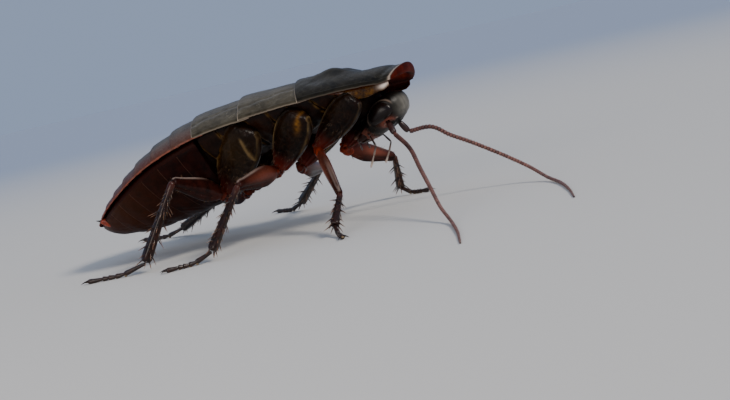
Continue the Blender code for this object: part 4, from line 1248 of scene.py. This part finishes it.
def build_cerci():
    """Short ringed cones beside the tail plate, each with a dark point."""
    for side, sign in SIDES:
        root = Vector(body_points(CERCUS_ROOT[0], sign * CERCUS_ROOT[1], CERCUS_ROOT[2]))
        tip = Vector(body_points(CERCUS_TIP[0], sign * CERCUS_TIP[1], CERCUS_TIP[2]))
        point = tip + (tip - root) * CERCUS_POINT
        reach = (point - root).length
        sections = [(0.0, 0.8, 0.74)]
        for k in range(CERCUS_RINGS):
            share = 0.14 + 0.52 * k / CERCUS_RINGS
            wide = 0.86 * (1 - 0.62 * (k / CERCUS_RINGS) ** 1.8)
            sections += [(share, wide, wide * 0.9), (share + 0.06, wide * 1.03, wide * 0.92),
                         (share + 0.085, wide * 0.86, wide * 0.78)]
        sections += [(0.7, 0.3, 0.28), (0.76, 0.17, 0.16), (0.9, 0.1, 0.1), (1.0, 0.02, 0.02)]
        cercus = limb("tail_feeler_" + side, sections, reach, 14, 1)
        z = points_of(cercus)[:, 2] / reach
        paint(cercus, "point", ease(z, 0.66, 0.76))
        present(cercus, CERCUS, "cerci", "cercus_" + side,
                place=axes_at(root, point - root, (0, 0, 1)))


# Legs

def build_coxa(place, root, joint, width, hair):
    """A broad flattened cone with raised borders, gold and olive marks and short hairs below."""
    outward = Vector((0, -1 if "right" in place else 1, 0))
    across = (joint - root).cross(outward).normalized()
    reach = (joint - root).length
    sections = [(share, width * size, 0.7 + 0.3 * width * size) for share, size in COXA_PROFILE]
    coxa = limb("hip_" + place, sections, reach, 20, 3)
    x, y, z = points_of(coxa).T
    share = z / reach
    u = x / np.maximum(width * np.interp(share, *np.array(COXA_PROFILE).T), 0.1)
    border = bump(np.abs(u) - 0.88, 0.05)
    gutter = bump(np.abs(u) - 0.72, 0.09)
    ridge = bump(u - 0.1 - 0.5 * share, 0.1) * ease(share, 0.1, 0.4)
    fork = bump(u + 0.14 + 2.75 * (share + 0.13), 0.1) * ease(share, -0.17, -0.12) * (share < 0.13)
    fork = fork * ("hind" in place)
    pleats = wrinkles(place + "_pleats", 0.6 * z, 2.2 * x, 1.0) * fade(share, 0.5, 0.7)
    swell = 0.14 * border - 0.16 * gutter + 0.14 * ridge + 0.16 * fork + 0.03 * pleats
    swell = swell + 0.045 * wrinkles(place, z, x, 1.3)
    move_points(coxa, x, y + np.sign(y) * swell * ease(np.abs(y), 0.1, 0.6), z)
    broken = np.clip(0.75 + 0.5 * wrinkles(place + "_border", z, 0 * z, 2.5), 0, 1)
    rear = (u > 0) * ease(share, -0.1, 0.08) * fade(share, 0.5, 0.75)
    ahead = (u < 0) * fade(share, 0.2, 0.55) * (0.25 if "hind" in place else 0.5)
    clear = 0.3 if "front" in place else 0.7
    paint(coxa, "border", border * broken * (rear + ahead) * clear + 0.6 * fork)
    paint(coxa, "foot", ease(share, 0.5, 0.92) * (0.5 if "hind" in place else 1.0))
    patch = bump(share + 0.17, 0.15) * bump(u + 0.36 + 0.5 * share, 0.17)
    arc = bump(u - 0.8, 0.13) * bump(share - 0.28, 0.26)
    streak = ("middle" in place) * patch + 0.45 * ("hind" in place) * arc
    paint(coxa, "gold", streak * (0.8 + 0.4 * wrinkles(place + "_gold", z, x, 0.8)))
    paint(coxa, "olive", ("hind" in place) * bump(share - 0.1, 0.3) * bump(u, 0.7) * 0.45
          + 0.3 * bump(share, 0.3) * bump(u - 0.5, 0.4))
    marks = (0.45 if "hind" in place else 0.25) * (np.abs(u) < 0.8)
    paint(coxa, "rough", marks * ease(share, -0.2, 0.0) * fade(share, 0.55, 0.8))
    close_up(coxa)
    placing = axes_at(root, joint - root, across)
    low = z > 0.3 * reach
    fur("hip_hairs_" + place, coxa, hair, HIP_HAIRS, (0.35, 0.7), (0, 0, 1), "coxae", placing, low)
    install(coxa, COXA, "coxae", "coxa_" + place, place=placing)


def build_femur(place, joint, knee, width, hair, thorn):
    """The red-brown trochanter and the flattened, keeled femur, with two thorns on the front pair."""
    direction = knee - joint
    across = direction.cross(Vector((0, 0, 1))).cross(direction).normalized()
    reach = direction.length
    placing = axes_at(joint, direction, across)
    sizes = ((-0.05, 0.4, 0.36), (0.0, 0.62, 0.5), (0.08, 0.72, 0.52), (0.15, 0.66, 0.5))
    sections = [(share, width * wide, width * deep) for share, wide, deep in sizes]
    sections.append((0.19, width * 0.35, width * 0.3, 0.2 * width))
    hip = limb("trochanter_" + place, sections, reach, 14)
    x, y, z = points_of(hip).T
    lumps = wrinkles(place + "_hip", z, 1.6 * x, 1.1)
    move_points(hip, x * (1 + 0.1 * lumps), y * (1 + 0.1 * lumps), z)
    # Warm: orange-red on the front legs, stronger on the bulges and weaker in the hollows between them,
    # a painted highlight and shade
    paint(hip, "warm", (0.55 if "front" in place else 0.12) + 0.25 * lumps)
    present(hip, TROCHANTER, "femora", place=placing)
    sizes = ((0.1, 0.42), (0.14, 0.6), (0.2, 0.8), (0.34, 1.0), (0.52, 0.94), (0.72, 0.7), (0.88, 0.52),
             (0.96, 0.5), (1.0, 0.3))
    sections = [(share, width * size, width * (0.22 + 0.35 * size)) for share, size in sizes]
    femur = limb("thigh_" + place, sections, reach, 20)
    x, y, z = points_of(femur).T
    share = z / reach
    wide = width * np.interp(share, *np.array(sizes).T)
    u = x / np.maximum(wide, 0.05)
    keel = 0.1 * width * bump(np.abs(u) - 0.98, 0.12) * ease(share, 0.2, 0.4)
    trough = 0.12 * width * bump(u + 0.62, 0.16) * ease(share, 0.25, 0.5)
    sunk = y - np.sign(y) * np.minimum(trough, np.abs(y))
    move_points(femur, x + np.sign(x) * keel, sunk, z)
    warmth = {"front": 1.0, "middle": 0.75, "hind": 0.12}[place.split("_")[0]]
    paint(femur, "base", fade(share, 0.12, 0.42) * (0.4 + 0.6 * warmth))
    # Pink: pinkish brown, partly the front pairs' own colour and partly a painted sheen
    paint(femur, "pink", 0.75 * warmth ** 2 * bump(share - 0.5, 0.3) * bump(u - 0.2, 0.6))
    # Edge: a pale painted highlight along the upper keel
    paint(femur, "edge", (0.6 - 0.25 * warmth) * bump(u - 0.92, 0.07) * ease(share, 0.3, 0.7))
    close_up(femur)
    edges = np.abs(u) > 0.5
    fur("thigh_hairs_" + place, femur, hair, THIGH_HAIRS, (0.3, 0.6), (0, 0, 1), "femora", placing,
        edges)
    install(femur, FEMUR, "femora", "femur_" + place, place=placing)
    if "front" in place:
        below = Vector((0.1, 0.0, -1.0))
        feet = [(joint.lerp(knee, along) + below * width * 0.2, long) for along, long in HIP_THORNS]
        spurs = many("thigh_spines_" + place, thorn,
                     [axes_at(foot, below, direction, (1, 1, long)) for foot, long in feet],
                     "tip", 0.4 * ease(points_of(thorn)[:, 2], 0.5, 0.9))
        install(spurs, SPINE, "femora")


def build_hip_lobes(place, root, joint, width):
    """The soft red swellings that ring the joint between a coxa and its trochanter."""
    lobe = limb("hip_lobe", [(0.0, 0.3, 0.3), (0.25, 0.5, 0.46), (0.6, 0.52, 0.48), (0.9, 0.3, 0.3),
                             (1.0, 0.1, 0.1)], 1.0, 10, 2)
    close_up(lobe)
    draw = random.Random("lobes_" + place)
    direction = (joint - root).normalized()
    placings = []
    for k in range(HIP_LOBES):
        turn = Matrix.Rotation(2 * math.pi * (k + draw.uniform(-0.2, 0.2)) / HIP_LOBES, 3, direction)
        out = turn @ direction.orthogonal().normalized()
        foot = joint - direction * draw.uniform(0.3, 0.9) + out * width * 0.2
        size = width * draw.uniform(0.5, 0.62) * (1.0 if "front" in place else 0.8)
        placings.append(axes_at(foot, out + direction * 0.6, direction, (size, size, size)))
    warm = 0.55 if "front" in place else 0.1
    lobes = many("hip_lobes_" + place, lobe, placings, "warm", warm * np.ones(len(lobe.data.vertices)))
    install(lobes, TROCHANTER, "femora")
    bpy.data.objects.remove(lobe)


def fur(name, skin, hair, count, lengths, lie, slot, placing, where):
    """Short hairs at random points of a piece, leaning along its lie, before it is placed."""
    draw = random.Random(name)
    chosen = [vertex for vertex, here in zip(skin.data.vertices, where) if here]
    hairs = []
    for vertex in draw.sample(chosen, min(count, len(chosen))):
        aim = (vertex.normal + Vector(lie) * draw.uniform(0.6, 1.6)).normalized()
        aim = placing.to_3x3() @ aim
        foot = placing @ (vertex.co - vertex.normal * 0.03)
        long = draw.uniform(*lengths)
        if (foot + aim * long).z > HAIR_LEVEL:
            hairs.append(axes_at(foot, aim, aim.orthogonal(), (1, 1, long)))
    coat = many(name, hair, hairs)
    install(coat, BRISTLE, slot)


def spine_master():
    """A thorn one long: a thick socket ring, then a slender shaft with a slight bend."""
    thorn = rod("spine", [(0.0, 0.19), (0.05, 0.24), (0.11, 0.2), (0.14, 0.145), (0.45, 0.11, 0.01),
                          (0.78, 0.06, 0.04), (1.0, 0.012, 0.09)], 1.0, 8, 1)
    close_up(thorn)
    return thorn


def build_tibia(place, knee, ankle, toe, width, count, thorn, hair):
    """A ridged shaft that widens to the ankle, its rows of spines and its bristles."""
    shaft = ankle - knee
    direction = shaft.normalized()
    onward = toe - ankle
    across = (onward - direction * onward.dot(direction)).normalized()
    beside = direction.cross(across)
    reach = shaft.length
    sizes = ((-0.02, 0.5), (0.02, 0.86), (0.08, 0.8), (0.16, 0.78), (0.4, 0.9), (0.7, 1.05),
             (0.9, 1.25), (0.96, 1.15), (0.985, 0.7))
    tibia = rod("shin_" + place, [(share, width * size) for share, size in sizes], reach)
    x, y, z = points_of(tibia).T
    turn = np.arctan2(y, x)
    ridged = 1 + 0.07 * np.cos(4 * turn + 0.7) * ease(z / reach, 0.1, 0.25)
    move_points(tibia, x * ridged, y * ridged, z)
    paint(tibia, "base", fade(z / reach, 0.0, 0.2))
    present(tibia, TIBIA, "tibiae", "tibia_" + place, place=axes_at(knee, shaft, across))
    draw = random.Random("tibia_" + place)
    thorns = []

    def add_thorn(share, turn, lean, long, thick=1.0):
        outward = across * math.cos(turn) + beside * math.sin(turn)
        aim = (outward * math.cos(lean) + direction * math.sin(lean)).normalized()
        root = knee + shaft * share + outward * width * 0.35
        while (root + aim * long).z < SPINE_LEVEL and long > 0.9:
            long *= 0.9
        thorns.append(axes_at(root, aim, direction, (thick, thick, long)))

    for i in range(count):
        share = 0.2 + 0.66 * i / (count - 1)
        turn = math.radians(SPINE_ROWS[i % len(SPINE_ROWS)] + draw.uniform(-12, 12))
        lean = math.radians(42 + draw.uniform(-6, 6))
        long = SPINE_LENGTH * (0.75 + 0.25 * share) * draw.uniform(0.85, 1.1)
        add_thorn(share, turn, lean, width + long)
    for i in range(ANKLE_SPINES):
        turn = math.radians(60 + 60 * i)
        add_thorn(0.93, turn, math.radians(50), width + SPINE_LENGTH * draw.uniform(0.8, 0.95))
    for i in range(count + 4):
        share = 0.16 + 0.72 * (i + 0.5) / (count + 4)
        turn = math.radians(SPINE_ROWS[(i + 2) % len(SPINE_ROWS)] + draw.uniform(-20, 20))
        add_thorn(share, turn, math.radians(46 + draw.uniform(-8, 8)),
                  width + SPINE_LENGTH * draw.uniform(0.45, 0.85), 0.8)
    pale = 0.8 * ease(points_of(thorn)[:, 2], 0.35, 0.9)
    spines = many("spines_" + place, thorn, thorns, "tip", pale)
    install(spines, SPINE, "tibiae")
    bristles = []
    for _ in range(SHIN_BRISTLES):
        share = draw.uniform(0.08, 0.95)
        turn = draw.uniform(0, 2 * math.pi)
        outward = across * math.cos(turn) + beside * math.sin(turn)
        aim = (outward + direction * draw.uniform(0.5, 1.2)).normalized()
        long = draw.uniform(0.35, 0.8)
        foot = knee + shaft * share + outward * width * 0.75
        if (foot + aim * long).z > HAIR_LEVEL:
            bristles.append(axes_at(foot, aim, direction, (1.4, 1.4, long)))
    down = many("shin_bristles_" + place, hair, bristles)
    install(down, BRISTLE, "tibiae")


def build_tarsus(place, ankle, toe):
    """Five clubbed joints with pale pads under them, two hooked claws and the pad between."""
    down = [Vector((*ankle.lerp(toe, share).xy, height)) for share, height in ((0.38, 0.5), (0.7, 0.4))]
    route = Route([ankle] + down + [toe])
    joints = []
    pads = []
    start = 0.0
    for number, share in enumerate(TARSOMERES):
        end = start + share
        begin = Vector(route.at(start * route.length))
        finish = Vector(route.at(end * route.length))
        reach = (finish - begin).length
        joint = limb(f"toe_joint_{number}", [(-0.02, 0.2, 0.2), (0.06, 0.3, 0.3), (0.5, 0.36, 0.34),
                                             (0.85, 0.46, 0.44), (0.97, 0.42, 0.38), (1.03, 0.2, 0.2)],
                     reach, 12)
        placing = axes_at(begin, finish - begin, (0, 0, 1))
        close_up(joint)
        joint.data.transform(placing)
        joints.append(joint)
        if number < 4:
            pad = limb(f"toe_pad_{number}", [(0.0, 0.12, 0.2), (0.3, 0.26, 0.3), (0.8, 0.24, 0.28),
                                             (1.0, 0.08, 0.12)], 0.5, 10, 1)
            close_up(pad)
            foot = finish - (finish - begin).normalized() * 0.42
            foot.z = max(foot.z - 0.3, 0.2)
            pad.data.transform(axes_at(foot, finish - begin, (0, 0, 1)))
            pads.append(pad)
        start = end
    forward = ((toe - ankle) * Vector((1, 1, 0))).normalized()
    beside = forward.cross(Vector((0, 0, 1)))
    claws = []
    for _, sign in SIDES:
        claw = limb("claw", [(0.0, 0.17, 0.14), (0.2, 0.2, 0.15), (0.5, 0.14, 0.11, -0.02),
                             (0.8, 0.08, 0.07, -0.14), (1.0, 0.015, 0.015, -0.34)], 1.6, 8, 2)
        close_up(claw)
        aim = (forward + sign * 0.65 * beside).normalized()
        claw.data.transform(axes_at(toe - forward * 0.3 + Vector((0, 0, 0.12)), aim, (0, 0, 1)))
        claws.append(claw)
    between = limb("between_pad", [(0.0, 0.14, 0.2), (0.5, 0.2, 0.3), (1.0, 0.06, 0.1)], 0.6, 10, 1)
    close_up(between)
    between.data.transform(axes_at(toe + Vector((0, 0, -0.02)), forward, (0, 0, 1)))
    for name, group, material, nodes in (("foot_", joints, TARSUS, ("tarsus_" + place,)),
                                         ("foot_pads_", pads + [between], PAD, ()),
                                         ("claws_", claws, SPINE, ())):
        piece = joined(name + place, group)
        x, y, z = points_of(piece).T
        move_points(piece, x, y, np.maximum(z, FOOT_LEVEL))
        install(piece, material, "tarsi", *nodes)


def hair_master():
    """A bristle one long, of four sides."""
    hair = rod("bristle", [(0.0, 0.022), (0.5, 0.015), (1.0, 0.004, 0.08)], 1.0, 4, 0)
    close_up(hair)
    return hair


def build_legs(hair):
    thorn = spine_master()
    for place, (*joints, count) in LEGS.items():
        pair = place.split("_")[0]
        root, joint, knee, ankle, toe = (Vector(p) for p in joints)
        build_coxa(place, root, joint, COXA_WIDTH[pair], hair)
        build_hip_lobes(place, root, joint, FEMUR_WIDTH[pair])
        build_femur(place, joint, knee, FEMUR_WIDTH[pair], hair, thorn)
        build_tibia(place, knee, ankle, toe, TIBIA_WIDTH[pair], count, thorn, hair)
        build_tarsus(place, ankle, toe)
    bpy.data.objects.remove(thorn)


photo_camera()
studio()
hair = hair_master()
build_hood()
build_segment_plates()
build_tergites()
build_tail_plate()
build_sternites()
build_trunk()
build_flanks()
build_neck()
build_skull(hair)
build_eyes()
build_mouth()
build_palps()
build_feelers()
build_cerci()
build_legs(hair)
bpy.data.objects.remove(hair)
